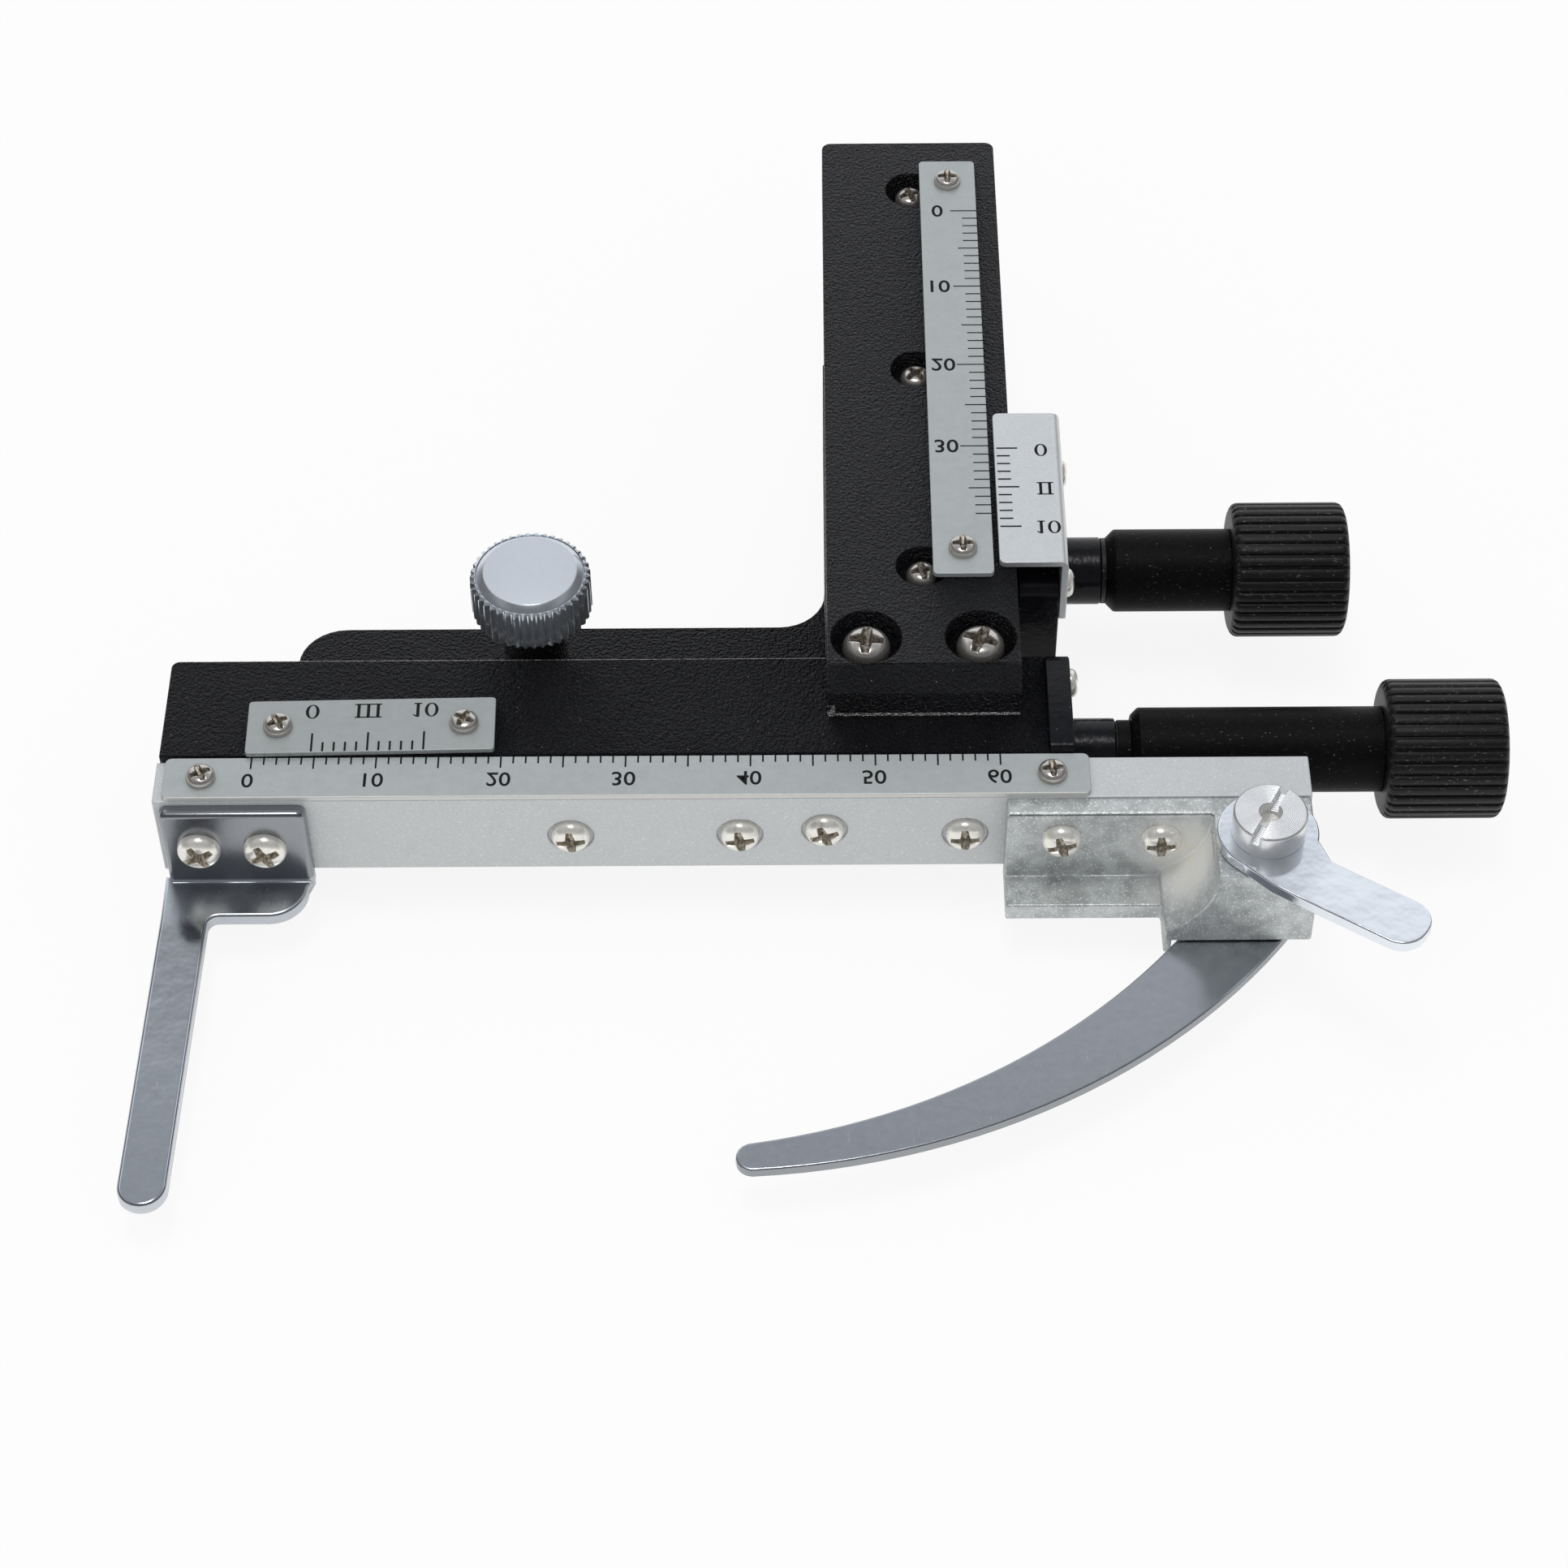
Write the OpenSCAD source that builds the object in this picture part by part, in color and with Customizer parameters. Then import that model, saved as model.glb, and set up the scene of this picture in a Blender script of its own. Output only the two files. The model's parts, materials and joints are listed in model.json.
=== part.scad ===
// Mechanical microscope stage: an L-shaped base, a front-to-back column with rack and pinion,
// and a left-to-right slide bar with a lead screw, a fixed finger and a sprung clamp arm.
// Millimetres. The origin is where the axis of the thumb screw meets the underside of the base.
// +X runs to the right along the slide bar, +Y away from the user, +Z up.

/* [Base] */
// Thickness of the base plate
base_t = 2; // [1.6:0.1:2.2]
// Width of the arm that the thumb screw goes through
arm_w = 11; // [10:0.5:12]
// Distance from the screw axis to the free left end of the arm
arm_reach = 20.5; // [18:0.5:24]
// Radius of the free corners and of the inner fillet of the base
base_corner_r = 3.9; // [2:0.1:4.5]
// Length of the guide block under the column
guide_len = 35; // [32:0.5:40]
// Outer diameter of the boss that carries the thumb screw
boss_d = 5.45; // [5.2:0.05:6]
// Height of the boss top above the underside
boss_top = 11; // [10.8:0.1:12]
// Diameter of each locating pin
pin_d = 2; // [1.5:0.1:2.5]
// How far the locating pins stand out of the underside
pin_out = 1.8; // [1:0.1:2.5]
// Distance between the two locating pins
pin_spacing = 16; // [12:0.5:20]

/* [Thumb screw] */
// Diameter of the knurled head over the teeth
thumb_d = 9.95; // [9:0.05:11]
// Height of the knurled head
thumb_h = 4.3; // [3.6:0.1:6]
// Diameter of the flat on top of the head
thumb_flat_d = 7.7; // [6:0.1:8.2]
// Number of knurl teeth
thumb_teeth = 42; // [30:1:60]
// Diameter of the threaded shank
thread_d = 3.9; // [3:0.1:4.1]
// How far the thread stands out of the underside
thread_out = 4; // [3:0.1:6]

/* [Column] */
// Width of the column
col_w = 15.6; // [15.2:0.1:16]
// Length of the column
col_len = 66.1; // [62:0.1:70]
// Thickness of the column
col_t = 4.4; // [4:0.1:5.5]
// Chamfer along the top front edge of the column
col_chamfer = 1.7; // [0.8:0.1:2]
// Radius of the two rear corners of the column
col_corner_r = 0.8; // [0.4:0.1:1.5]
// Distance from the screw axis to the middle of the column
col_x = 32.1; // [32:0.1:33]
// How far the column reaches forward over the cross body
col_overhang = 6.5; // [6:0.1:7]
// Diameter of the counterbores of the rail screws
rail_cbore_d = 4.4; // [3.6:0.1:4.8]
// Depth of the counterbores of the rail screws
rail_cbore_depth = 1.6; // [1.4:0.1:2.2]
// Distance between the rail screws
rail_screw_pitch = 23.5; // [20:0.1:24]
// Diameter of the counterbores of the two joining screws
join_cbore_d = 5.8; // [5:0.1:6]
// Depth of the counterbores of the two joining screws
join_cbore_depth = 1.7; // [1.6:0.1:2.4]
// Distance between the two joining screws
join_pitch = 9.25; // [8.5:0.05:9.4]

/* [Front-to-back drive] */
// Module of the rack and pinion
gear_module = 0.4; // [0.35:0.01:0.42]
// Number of teeth on the pinion
pinion_teeth = 12; // [11:1:12]
// Backlash taken off each tooth
backlash = 0.06; // [0.04:0.01:0.1]
// Distance from the screw axis back to the pinion shaft
pinion_y = 8.8; // [8:0.1:10]
// Height of the pinion shaft above the underside
pinion_z = 5.8; // [5.7:0.02:5.9]
// Outer diameter of the pinion shaft bush
y_bush_d = 5.7; // [5:0.1:5.8]
// Length of the sleeve on the pinion shaft
y_sleeve_len = 10.6; // [8:0.1:16]

/* [Knobs] */
// Diameter of both knobs over the ribs
knob_d = 11.4; // [10:0.1:11.5]
// Length of both knobs
knob_len = 9.7; // [8:0.1:14]
// Number of ribs round a knob
knob_ribs = 34; // [28:1:42]
// Depth of the grooves between the ribs
rib_depth = 0.28; // [0.15:0.01:0.4]
// Chamfer on both ends of a knob
knob_chamfer = 0.5; // [0.3:0.05:0.9]
// Diameter of both sleeves
sleeve_d = 7; // [6:0.1:7.4]
// Diameter of both shafts
shaft_d = 3; // [2.6:0.1:3.2]

/* [Cross body] */
// Radius of the rear corner at the left end of the cross body
body_corner_r = 0.7; // [0.3:0.1:1.2]
// Length of the cross body
body_len = 71.5; // [70:0.1:74]
// Depth of the cross body, front to back
body_d = 10.4; // [10.2:0.1:11]
// Height of the cross body
body_h = 8.8; // [8.6:0.1:9]
// Distance from the screw axis to the back face of the cross body
body_back = 5.25; // [5.2:0.05:6]
// Distance from the column to the right end of the cross body
body_end = 2.2; // [2:0.1:3]
// Gap between the cross body and the slide bar
bar_gap = 0.15; // [0.1:0.05:0.3]
// Height of the dovetail groove at its widest
groove_h = 5.4; // [5:0.1:5.6]
// Thickness of the end plate
end_plate_t = 2; // [1.5:0.1:2.4]

/* [Left-to-right drive] */
// Diameter of the lead screw over its thread
lead_d = 3.2; // [2.8:0.1:3.3]
// Travel of the bar in one turn of the knob
lead = 10; // [8:0.5:12]
// Number of thread starts
starts = 4; // [3:1:5]
// Depth from the front face of the cross body to the lead screw axis
lead_depth = 3.95; // [3.8:0.05:4.1]
// Outer diameter of the lead screw bush
x_bush_d = 5.3; // [5:0.1:5.4]
// Length of the bush outside the end plate
x_bush_out = 3.6; // [3:0.1:4.5]
// Length of the sleeve on the lead screw
x_sleeve_len = 20.4; // [16:0.1:24]

/* [Slide bar] */
// How far the slide bar reaches past the right end of the cross body
bar_over = 20.7; // [20:0.1:22]
// Depth of the slide bar, front to back
bar_d = 4.2; // [4:0.1:4.6]
// Height of the slide bar
bar_h = 8.4; // [8.2:0.1:8.6]
// Height of the underside of the bar above the stage
bar_lift = 1.5; // [1.3:0.1:1.7]
// Distance that the bar's left end lies left of the cross body
bar_lead = 0.2; // [0:0.1:1]
// Length of the dovetail rail on the bar
x_rail_len = 38.3; // [36:0.1:38.5]
// Length of the driving nut
nut_len = 5.6; // [5:0.1:6]
// Diameter of the recesses round the bar's front screws
bar_recess_d = 3.7; // [3.4:0.1:4]
// Depth of those recesses
bar_recess_depth = 0.3; // [0.2:0.1:0.9]

/* [Scales] */
// Thickness of the scale plates
scale_t = 0.5; // [0.4:0.05:0.6]
// Length of the long scale plate on the bar
x_scale_len = 74; // [70:0.5:76]
// Width of the long scale plate
x_scale_w = 4.2; // [4:0.1:4.2]
// Length of the scale plate on the column
y_scale_len = 51.7; // [48:0.1:54]
// Width of the scale plate on the column
y_scale_w = 5; // [4.6:0.1:5.1]
// Length of the vernier plate on the cross body
x_vernier_len = 20; // [18:0.1:22]
// Width of the vernier plate on the cross body
x_vernier_w = 5.6; // [5:0.1:6]
// Small turn by which this plate is set askew, in degrees
x_vernier_turn = 1; // [0:0.1:1.2]
// Length of the bent vernier plate beside the column
y_vernier_len = 17.6; // [17:0.1:18]
// Width of the top of the bent vernier plate
y_vernier_w = 5.7; // [5.4:0.1:5.9]
// Thickness of the bent vernier plate
y_vernier_t = 0.6; // [0.4:0.05:0.7]

/* [Finger and clamp] */
// Thickness of the stamped fixed finger
finger_t = 1.15; // [1:0.05:1.2]
// Width of the fixed finger
finger_w = 3.85; // [3:0.05:4.5]
// Reach of the finger in front of the bar
finger_reach = 32.8; // [26:0.1:36]
// Width of the finger's mounting flange
flange_w = 11.7; // [11:0.1:12.5]
// Length of the clamp bracket
bracket_len = 24.2; // [24:0.1:25]
// Thickness of the bracket's flange
bracket_t = 1.8; // [1.6:0.1:2]
// Depth of the bracket's boss in front of the bar
boss_depth = 8.2; // [8:0.1:9]
// Width of the bracket's boss
boss_w = 7.9; // [7.6:0.1:8.2]
// Radius of the curved wall beside the boss
wall_r = 6.8; // [6:0.1:7]
// Thickness of the clamp arm
arm_t = 1; // [0.8:0.05:1.1]
// Radius of the clamp arm's outer edge
arm_outer_r = 57.36; // [56:0.02:58]
// Radius of the clamp arm's inner edge
arm_inner_r = 54.8; // [54:0.05:55]
// Thickness of the thumb lever
lever_t = 1.1; // [0.8:0.05:1.4]
// Reach of the thumb lever from the pivot
lever_reach = 15.3; // [12:0.1:16]
// Width of the lever's paddle
lever_w = 4.6; // [4:0.1:5.4]
// Diameter of the slotted head on the pivot
head_d = 5.86; // [5:0.02:6.2]
// Height of the slotted head on the pivot
head_h = 2.3; // [1.8:0.1:2.8]

/* [Screws] */
// Head diameter of the small scale screws
small_head_d = 2.4; // [2:0.05:2.6]
// Head height of the small scale screws
small_head_h = 0.75; // [0.5:0.05:0.9]
// Shank diameter of the small scale screws
small_shank_d = 1.2; // [1:0.05:1.3]
// Head diameter of the screws in the bar and bracket
bar_head_d = 3.2; // [2.8:0.1:3.4]
// Head diameter of the two screws in the finger
finger_head_d = 3.5; // [3.2:0.1:3.8]
// Head height of those screws
bar_head_h = 1.2; // [0.9:0.1:1.3]
// Shank diameter of those screws
bar_shank_d = 1.7; // [1.4:0.1:1.8]
// Head diameter of the rail screws in the column
rail_head_d = 2.7; // [2.4:0.1:3.2]
// Head diameter of the two joining screws
join_head_d = 3.95; // [3.6:0.05:4.2]

/* [Hidden] */

// Overrun of every cut
cut = 1;
// Radial clearance round a screw shank or a seated shaft
fit_gap = 0.03;
// Radial running clearance of the turning shafts
run_gap = 0.05;
// Clearance of the sliding dovetails
slide_gap = 0.1;
// Clearance between parts that pass each other
pass_gap = 0.3;
// Facets of round parts and of small screws
round_fn = 64;
small_fn = 32;

// Column, seen from above
col_left_x = col_x - col_w / 2;
col_right_x = col_x + col_w / 2;

// Cross body, seen from above
body_back_y = -body_back;
body_front_y = body_back_y - body_d;
body_right_x = col_right_x + body_end;
body_left_x = body_right_x - body_len;
body_lift = 0.1;
body_bottom = bar_lift + body_lift;
body_top = body_bottom + body_h;

// Slide bar
bar_left_x = body_left_x - bar_lead;
bar_right_x = body_right_x + bar_over;
bar_len = bar_right_x - bar_left_x;
bar_back_y = body_front_y - bar_gap;
bar_front_y = bar_back_y - bar_d;
bar_top = bar_lift + bar_h;
bar_mid_y = (bar_back_y + bar_front_y) / 2;

// Heights and ends of the column
col_bottom = body_top;
col_top = col_bottom + col_t;
col_front_y = body_back_y - col_overhang;
col_back_y = col_front_y + col_len;

// Base
pin_step = 0.3;
pin_seat_d = pin_d + pin_step;
thumb_gap = 0.1;
neck_relief = 0.5;
neck_d = thread_d - neck_relief;
thread_relief = 0.6;
arm_front_y = body_back_y + pass_gap;
arm_back_y = arm_front_y + arm_w;
leg_margin = 0.1;
leg_left_x = col_left_x - leg_margin;
leg_right_x = col_right_x + pass_gap;
guide_back_y = arm_front_y + guide_len;
guide_top = col_bottom - pass_gap;

// Dovetail rail under the column
y_rail_shift = 0.1;
y_rail_x = col_x + y_rail_shift;
y_rail_top_w = 5.2;
y_rail_bottom_w = 6.6;
y_rail_h = 4;
y_rail_end = 1.8;
y_rail_len = col_back_y - arm_front_y - y_rail_end;
y_rail_front_y = arm_front_y + pass_gap;
rail_screw_in = 5.5;
first_rail_screw_y = y_rail_front_y + rail_screw_in;
rail_screw_l = col_t - rail_cbore_depth + y_rail_h * 0.7;

// Rack and pinion
pitch_r = gear_module * pinion_teeth / 2;
pressure_angle = 20;
rack_addendum = 0.7 * gear_module;
rack_dedendum = 1.25 * gear_module;
pinion_addendum = gear_module;
pinion_dedendum = 0.9 * gear_module;
tooth_pitch = PI * gear_module;
rack_w = 3.4;
rack_gap = 0.5;
rack_left_x = y_rail_x + y_rail_bottom_w / 2 + rack_gap;
rack_right_x = rack_left_x + rack_w;
pinion_in = 0.4;
pinion_left_x = rack_left_x + pinion_in;
pinion_w = rack_w - pinion_in;
rack_front_y = y_rail_front_y;
rack_screw_inset = 1.6;

// Bearing block and bent vernier plate
block_left_x = leg_right_x;
block_w = 3.4;
block_right_x = block_left_x + block_w;
block_front_y = 0.35;
block_len = y_vernier_len;
block_rise = 2;
block_top = col_bottom + block_rise;
y_vernier_lift = 0.25;
y_vernier_z = col_top + y_vernier_lift;
y_vernier_gap = 0.2;
y_vernier_bottom = pinion_z + y_bush_d / 2 + y_vernier_gap;
y_vernier_right_x = block_right_x + y_vernier_t;
y_vernier_left_x = y_vernier_right_x - y_vernier_w;
y_vernier_screw_drop = 1.7;
y_vernier_screw_z = block_top - y_vernier_screw_drop;
y_vernier_screw_inset = 2.4;

// Front-to-back drive along X
y_bush_out = 4;
y_bush_right_x = block_right_x + y_bush_out;
y_sleeve_gap = 0.4;
y_sleeve_left_x = y_bush_right_x + y_sleeve_gap;
y_knob_left_x = y_sleeve_left_x + y_sleeve_len;

// Left-to-right drive along X
lead_y = body_front_y + lead_depth;
lead_lift = 4.37;
lead_z = body_bottom + lead_lift;
end_plate_right_x = body_right_x + end_plate_t;
x_bush_right_x = end_plate_right_x + x_bush_out;
x_collar_gap = 0.15;
x_collar_left_x = x_bush_right_x + x_collar_gap;
x_sleeve_in = 1.15;
x_sleeve_left_x = x_collar_left_x + x_sleeve_in;
x_knob_left_x = x_sleeve_left_x + x_sleeve_len;
tunnel_wall = 1.8;
tunnel_left_x = body_left_x + tunnel_wall;

// Dovetail rail, nut and screws of the bar
x_rail_lift = 4.2;
rail_z = bar_lift + x_rail_lift;
bar_screw_lift = 3.9;
bar_screw_z = bar_lift + bar_screw_lift;
x_rail_d = 1.5;
x_rail_end = 4.8;
x_rail_left_x = body_right_x - x_rail_end - x_rail_len;
x_rail_narrow = 3.8;
nut_in = 25;
nut_x = x_rail_left_x + nut_in;
nut_h = 4.7;
nut_wall = 0.75;
nut_back_y = lead_y + lead_d / 2 + nut_wall;
nut_front_y = bar_back_y + x_rail_d;
bar_screw_ins = [4.6, 18.2, 36.3];
bar_screw_xs = [for (x = bar_screw_ins) x_rail_left_x + x];

// Fixed finger
flange_in = 0.5;
finger_flange_x = bar_left_x + flange_in;
finger_front_y = bar_front_y - finger_t;
shelf_top = 1.3;
shelf_bottom = shelf_top - finger_t;
shelf_depth = 3.6;
finger_screw_lift = 4;
finger_screw_z = bar_lift + finger_screw_lift;
finger_lean = 1.2;

// Clamp bracket and pivot
bracket_in = 0.1;
bracket_right_x = bar_right_x - bracket_in;
bracket_left_x = bracket_right_x - bracket_len;
bracket_front_y = bar_front_y - bracket_t;
bracket_drop = 0.15;
bracket_top = bar_top - bracket_drop;
boss_front_y = bar_front_y - boss_depth;
boss_left_x = bracket_right_x - boss_w;
foot_drop = 7.45;
foot_top = bracket_top - foot_drop;
foot_bottom = 0.6;
foot_depth = 3.2;
leg_in = 11.7;
leg_x = bracket_right_x - leg_in;
leg_t = 0.6;
leg_bottom = 0.25;
pivot_shift = 0.05;
pivot_x = bracket_right_x - boss_w / 2 + pivot_shift;
pivot_reach = 4.5;
pivot_y = bar_front_y - pivot_reach;
pivot_d = 3;
arm_bottom = 0.6;
arm_top = arm_bottom + arm_t;
arm_gap = 0.15;
slot_top = arm_top + arm_gap;
lever_gap = 0.1;
lever_bottom = bracket_top + lever_gap;
lever_top = lever_bottom + lever_t;
eye_r = 3.5;
tip_reach = [40.5, 24.25];
arm_tip = [pivot_x - tip_reach[0], pivot_y - tip_reach[1]];
arm_tip_r = 1.3;
spring_wire = 0.5;
spring_r = 2.15;
spring_turns = 4;
spring_h = 3.4;
spring_pocket_r = 2.6;

// Colours
black_paint = [0.12, 0.12, 0.13];
gloss_black = [0.06, 0.06, 0.07];
black_plastic = [0.09, 0.09, 0.1];
scale_grey = [0.68, 0.71, 0.72];
silver_paint = [0.76, 0.77, 0.78];
chrome = [0.8, 0.82, 0.85];
zinc = [0.6, 0.66, 0.66];
steel = [0.62, 0.63, 0.64];
aluminium = [0.82, 0.83, 0.85];
brass = [0.75, 0.62, 0.3];

// Points of an arc about a centre
function arc(c, r, a0, a1, n) =
    [for (i = [0:n]) let (a = a0 + (a1 - a0) * i / n) [c[0] + r * cos(a), c[1] + r * sin(a)]];

// Centre of the circle at distance rp from p and rq from q, right of the way from p to q
function centre_by(p, rp, q, rq) =
    let (d = norm(q - p), u = (q - p) / d, a = (rp * rp - rq * rq + d * d) / (2 * d),
        h = sqrt(rp * rp - a * a))
    [p[0] + a * u[0] + h * u[1], p[1] + a * u[1] - h * u[0]];

// Involute of a circle at roll angle t, turned by a
function involute(r, t, a) =
    let (s = PI * t / 180)
    [r * (cos(t + a) + s * sin(t + a)), r * (sin(t + a) - s * cos(t + a))];

// Round bar along +X from a start point
module along_x(x, y, z, d, l, fn = round_fn) {
    translate([x, y, z]) rotate([0, 90, 0]) cylinder(d = d, h = l, $fn = fn);
}

// Pan head screw: seat at the origin, shank down -Z, cross recess in the head
module pan_screw(head, head_h, shank, l) {
    difference() {
        union() {
            rotate_extrude($fn = small_fn)
                polygon(concat([[0, 0], [head / 2, 0]],
                    [for (a = [0:15:90]) [head / 2 * cos(a), head_h * (0.45 + 0.55 * sin(a))]]));
            translate([0, 0, -l]) cylinder(d = shank, h = l + head_h / 4, $fn = small_fn);
        }
        for (a = [0, 90])
            rotate([0, 0, a]) translate([-head * 0.32, -head * 0.09, head_h * 0.45])
                cube([head * 0.64, head * 0.18, head_h]);
    }
}

// Bore for a screw shank, down -Z from the origin
module shank_bore(shank, l) {
    translate([0, 0, -l]) cylinder(d = shank + 2 * fit_gap, h = l + cut, $fn = small_fn);
}

// Flat plate with rounded corners, centred on the origin
module plate(l, w, t, r) {
    linear_extrude(t)
        polygon(concat(
            arc([l / 2 - r, w / 2 - r], r, 0, 90, 5), arc([r - l / 2, w / 2 - r], r, 90, 180, 5),
            arc([r - l / 2, r - w / 2], r, 180, 270, 5), arc([l / 2 - r, r - w / 2], r, 270, 360, 5)));
}

// Dovetail profile extruded along Z: narrow side up
module dovetail(narrow, wide, h, l) {
    linear_extrude(l)
        polygon([[-wide / 2, 0], [wide / 2, 0], [narrow / 2, h], [-narrow / 2, h]]);
}

// Ribbed knob along +X with chamfered ends and a blind bore from its left face
module knob(x, y, z, bore) {
    step = 360 / knob_ribs;
    crest = knob_d / 2;
    root = crest - rib_depth;
    translate([x, y, z]) rotate([0, 90, 0])
        difference() {
            intersection() {
                linear_extrude(knob_len)
                    polygon([for (i = [0:knob_ribs - 1])
                        for (p = [[0.07, root], [0.24, crest], [0.76, crest], [0.93, root]])
                            [p[1] * cos((i + p[0]) * step), p[1] * sin((i + p[0]) * step)]]);
                rotate_extrude($fn = round_fn)
                    polygon([[0, 0], [crest - knob_chamfer, 0], [crest + knob_chamfer, 2 * knob_chamfer],
                        [crest + knob_chamfer, knob_len - 2 * knob_chamfer],
                        [crest - knob_chamfer, knob_len], [0, knob_len]]);
            }
            translate([0, 0, -cut]) cylinder(d = bore, h = knob_len * 0.75 + cut, $fn = round_fn);
        }
}

// Sleeve along +X with a chamfered left end
module sleeve(x, y, z, l, chamfer) {
    translate([x, y, z]) rotate([0, 90, 0])
        rotate_extrude($fn = round_fn)
            polygon([[shaft_d / 2 + fit_gap, 0], [sleeve_d / 2 - chamfer, 0], [sleeve_d / 2, chamfer],
                [sleeve_d / 2, l], [shaft_d / 2 + fit_gap, l]]);
}

module base_plate() {
    r = base_corner_r;
    color(black_paint) difference() {
        union() {
            linear_extrude(base_t)
                polygon(concat(
                    arc([r - arm_reach, arm_back_y - r], r, 90, 180, 8),
                    arc([r - arm_reach, arm_front_y + r], r, 180, 270, 8),
                    [[leg_right_x, arm_front_y], [leg_right_x, block_front_y]],
                    [[block_right_x, block_front_y], [block_right_x, block_front_y + block_len]],
                    [[leg_right_x, block_front_y + block_len], [leg_right_x, guide_back_y]],
                    [[leg_left_x, guide_back_y]],
                    arc([leg_left_x - r, arm_back_y + r], r, 360, 270, 8)));
            translate([leg_left_x, arm_front_y, 0])
                cube([leg_right_x - leg_left_x, guide_len, guide_top]);
            cylinder(d = boss_d, h = boss_top, $fn = round_fn);
        }
        // Dovetail groove
        translate([y_rail_x, arm_front_y - cut, col_bottom - y_rail_h - slide_gap])
            rotate([90, 0, 180])
                dovetail(y_rail_top_w + 2 * slide_gap, y_rail_bottom_w + 2 * slide_gap,
                    y_rail_h + slide_gap, guide_len + 2 * cut);
        // Channel of the rack and pocket of the pinion
        translate([rack_left_x - slide_gap, arm_front_y - cut, pinion_z + pitch_r - rack_addendum - pass_gap])
            cube([rack_w + 2 * slide_gap, guide_len + 2 * cut, guide_top]);
        along_x(pinion_left_x - pass_gap, pinion_y, pinion_z, 2 * (pitch_r + pinion_addendum + pass_gap),
            rack_right_x + slide_gap - pinion_left_x + pass_gap);
        // Hole of the pinion shaft in the right wall
        along_x(rack_right_x, pinion_y, pinion_z, shaft_d + 2 * pass_gap, leg_right_x);
        // Bore round the neck of the thumb screw, wider at its foot for the thread
        translate([0, 0, -cut]) {
            cylinder(d = neck_d + 2 * run_gap, h = boss_top + 2 * cut, $fn = round_fn);
            cylinder(d = thread_d + 2 * run_gap, h = cut + thread_relief, $fn = round_fn);
        }
        // Seats of the locating pins
        for (s = [-1, 1])
            translate([s * pin_spacing / 2, 0, -cut])
                cylinder(d = pin_seat_d, h = base_t + 2 * cut, $fn = small_fn);
        // Countersunk holes of the bearing block screws
        bearing_screw_places() {
            translate([0, 0, -cut])
                cylinder(d = small_shank_d + 2 * fit_gap, h = base_t + 2 * cut, $fn = small_fn);
            translate([0, 0, -small_head_h])
                cylinder(d = small_head_d + 2 * fit_gap, h = 2 * small_head_h, $fn = small_fn);
        }
    }
}

// Shouldered pins: the wider half sits in the plate
module locating_pins() {
    tip = pin_d / 5;
    color(steel) for (s = [-1, 1])
        translate([s * pin_spacing / 2, 0, -pin_out])
            rotate_extrude($fn = small_fn)
                polygon([[0, 0], [pin_d / 2 - tip, 0], [pin_d / 2, tip], [pin_d / 2, pin_out],
                    [pin_seat_d / 2, pin_out], [pin_seat_d / 2, pin_out + base_t], [0, pin_out + base_t]]);
}

// Places of the two screws that hold the bearing block from below
module bearing_screw_places() {
    for (y = [block_front_y + block_len * 0.18, block_front_y + block_len * 0.82])
        translate([block_left_x + block_w / 2, y, 0]) children();
}

module y_bearing_block() {
    r = 1.4;
    color(gloss_black) difference() {
        translate([block_left_x, 0, 0]) rotate([90, 0, 90])
            linear_extrude(block_w)
                polygon(concat([[block_front_y, base_t]], [[block_front_y + block_len, base_t]],
                    arc([block_front_y + block_len - r, block_top - r], r, 0, 90, 6),
                    arc([block_front_y + r, block_top - r], r, 90, 180, 6)));
        along_x(block_left_x - cut, pinion_y, pinion_z, y_bush_d, block_w + 2 * cut);
        bearing_screw_places()
            cylinder(d = small_shank_d + 2 * fit_gap, h = base_t + small_shank_d * 2, $fn = small_fn);
        y_vernier_screw_places() shank_bore(small_shank_d, block_w * 0.8);
    }
}

module bearing_screws() {
    color(steel) bearing_screw_places() {
        cylinder(d = small_head_d, h = small_head_h, $fn = small_fn);
        cylinder(d = small_shank_d, h = base_t + small_shank_d * 1.8, $fn = small_fn);
    }
}

module y_bush() {
    color(gloss_black) difference() {
        along_x(block_left_x, pinion_y, pinion_z, y_bush_d, y_bush_right_x - block_left_x);
        along_x(block_left_x - cut, pinion_y, pinion_z, shaft_d + 2 * run_gap,
            y_bush_right_x - block_left_x + 2 * cut);
    }
}

// Places of the two flange screws, seats facing +X
module y_vernier_screw_places() {
    for (y = [block_front_y + y_vernier_screw_inset, block_front_y + block_len - y_vernier_screw_inset])
        translate([block_right_x, y, y_vernier_screw_z]) rotate([0, 90, 0]) children();
}

module y_vernier_plate() {
    r = 0.8;
    corner = 0.5;
    color(aluminium) difference() {
        union() {
            translate([0, 0, y_vernier_z]) linear_extrude(y_vernier_t)
                polygon(concat([[y_vernier_right_x, block_front_y]],
                    [[y_vernier_right_x, block_front_y + y_vernier_len]],
                    arc([y_vernier_left_x + corner, block_front_y + y_vernier_len - corner], corner, 90, 180, 4),
                    arc([y_vernier_left_x + corner, block_front_y + corner], corner, 180, 270, 4)));
            translate([block_right_x, block_front_y, y_vernier_bottom])
                cube([y_vernier_t, y_vernier_len, y_vernier_z + y_vernier_t - y_vernier_bottom]);
        }
        // Rounded outer edge of the bend
        translate([y_vernier_right_x - r, block_front_y - cut, y_vernier_z + y_vernier_t - r])
            rotate([-90, 0, 0]) linear_extrude(y_vernier_len + 2 * cut)
                polygon(concat([[r + cut, -r - cut]], [[0, -r - cut]], arc([0, 0], r, 270, 360, 6),
                    [[r + cut, 0]]));
        y_vernier_screw_places() shank_bore(small_shank_d, cut);
    }
}

module y_vernier_screws() {
    color(steel) y_vernier_screw_places() translate([0, 0, y_vernier_t])
        pan_screw(small_head_d, small_head_h, small_shank_d, y_vernier_t + block_w * 0.75);
}

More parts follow.
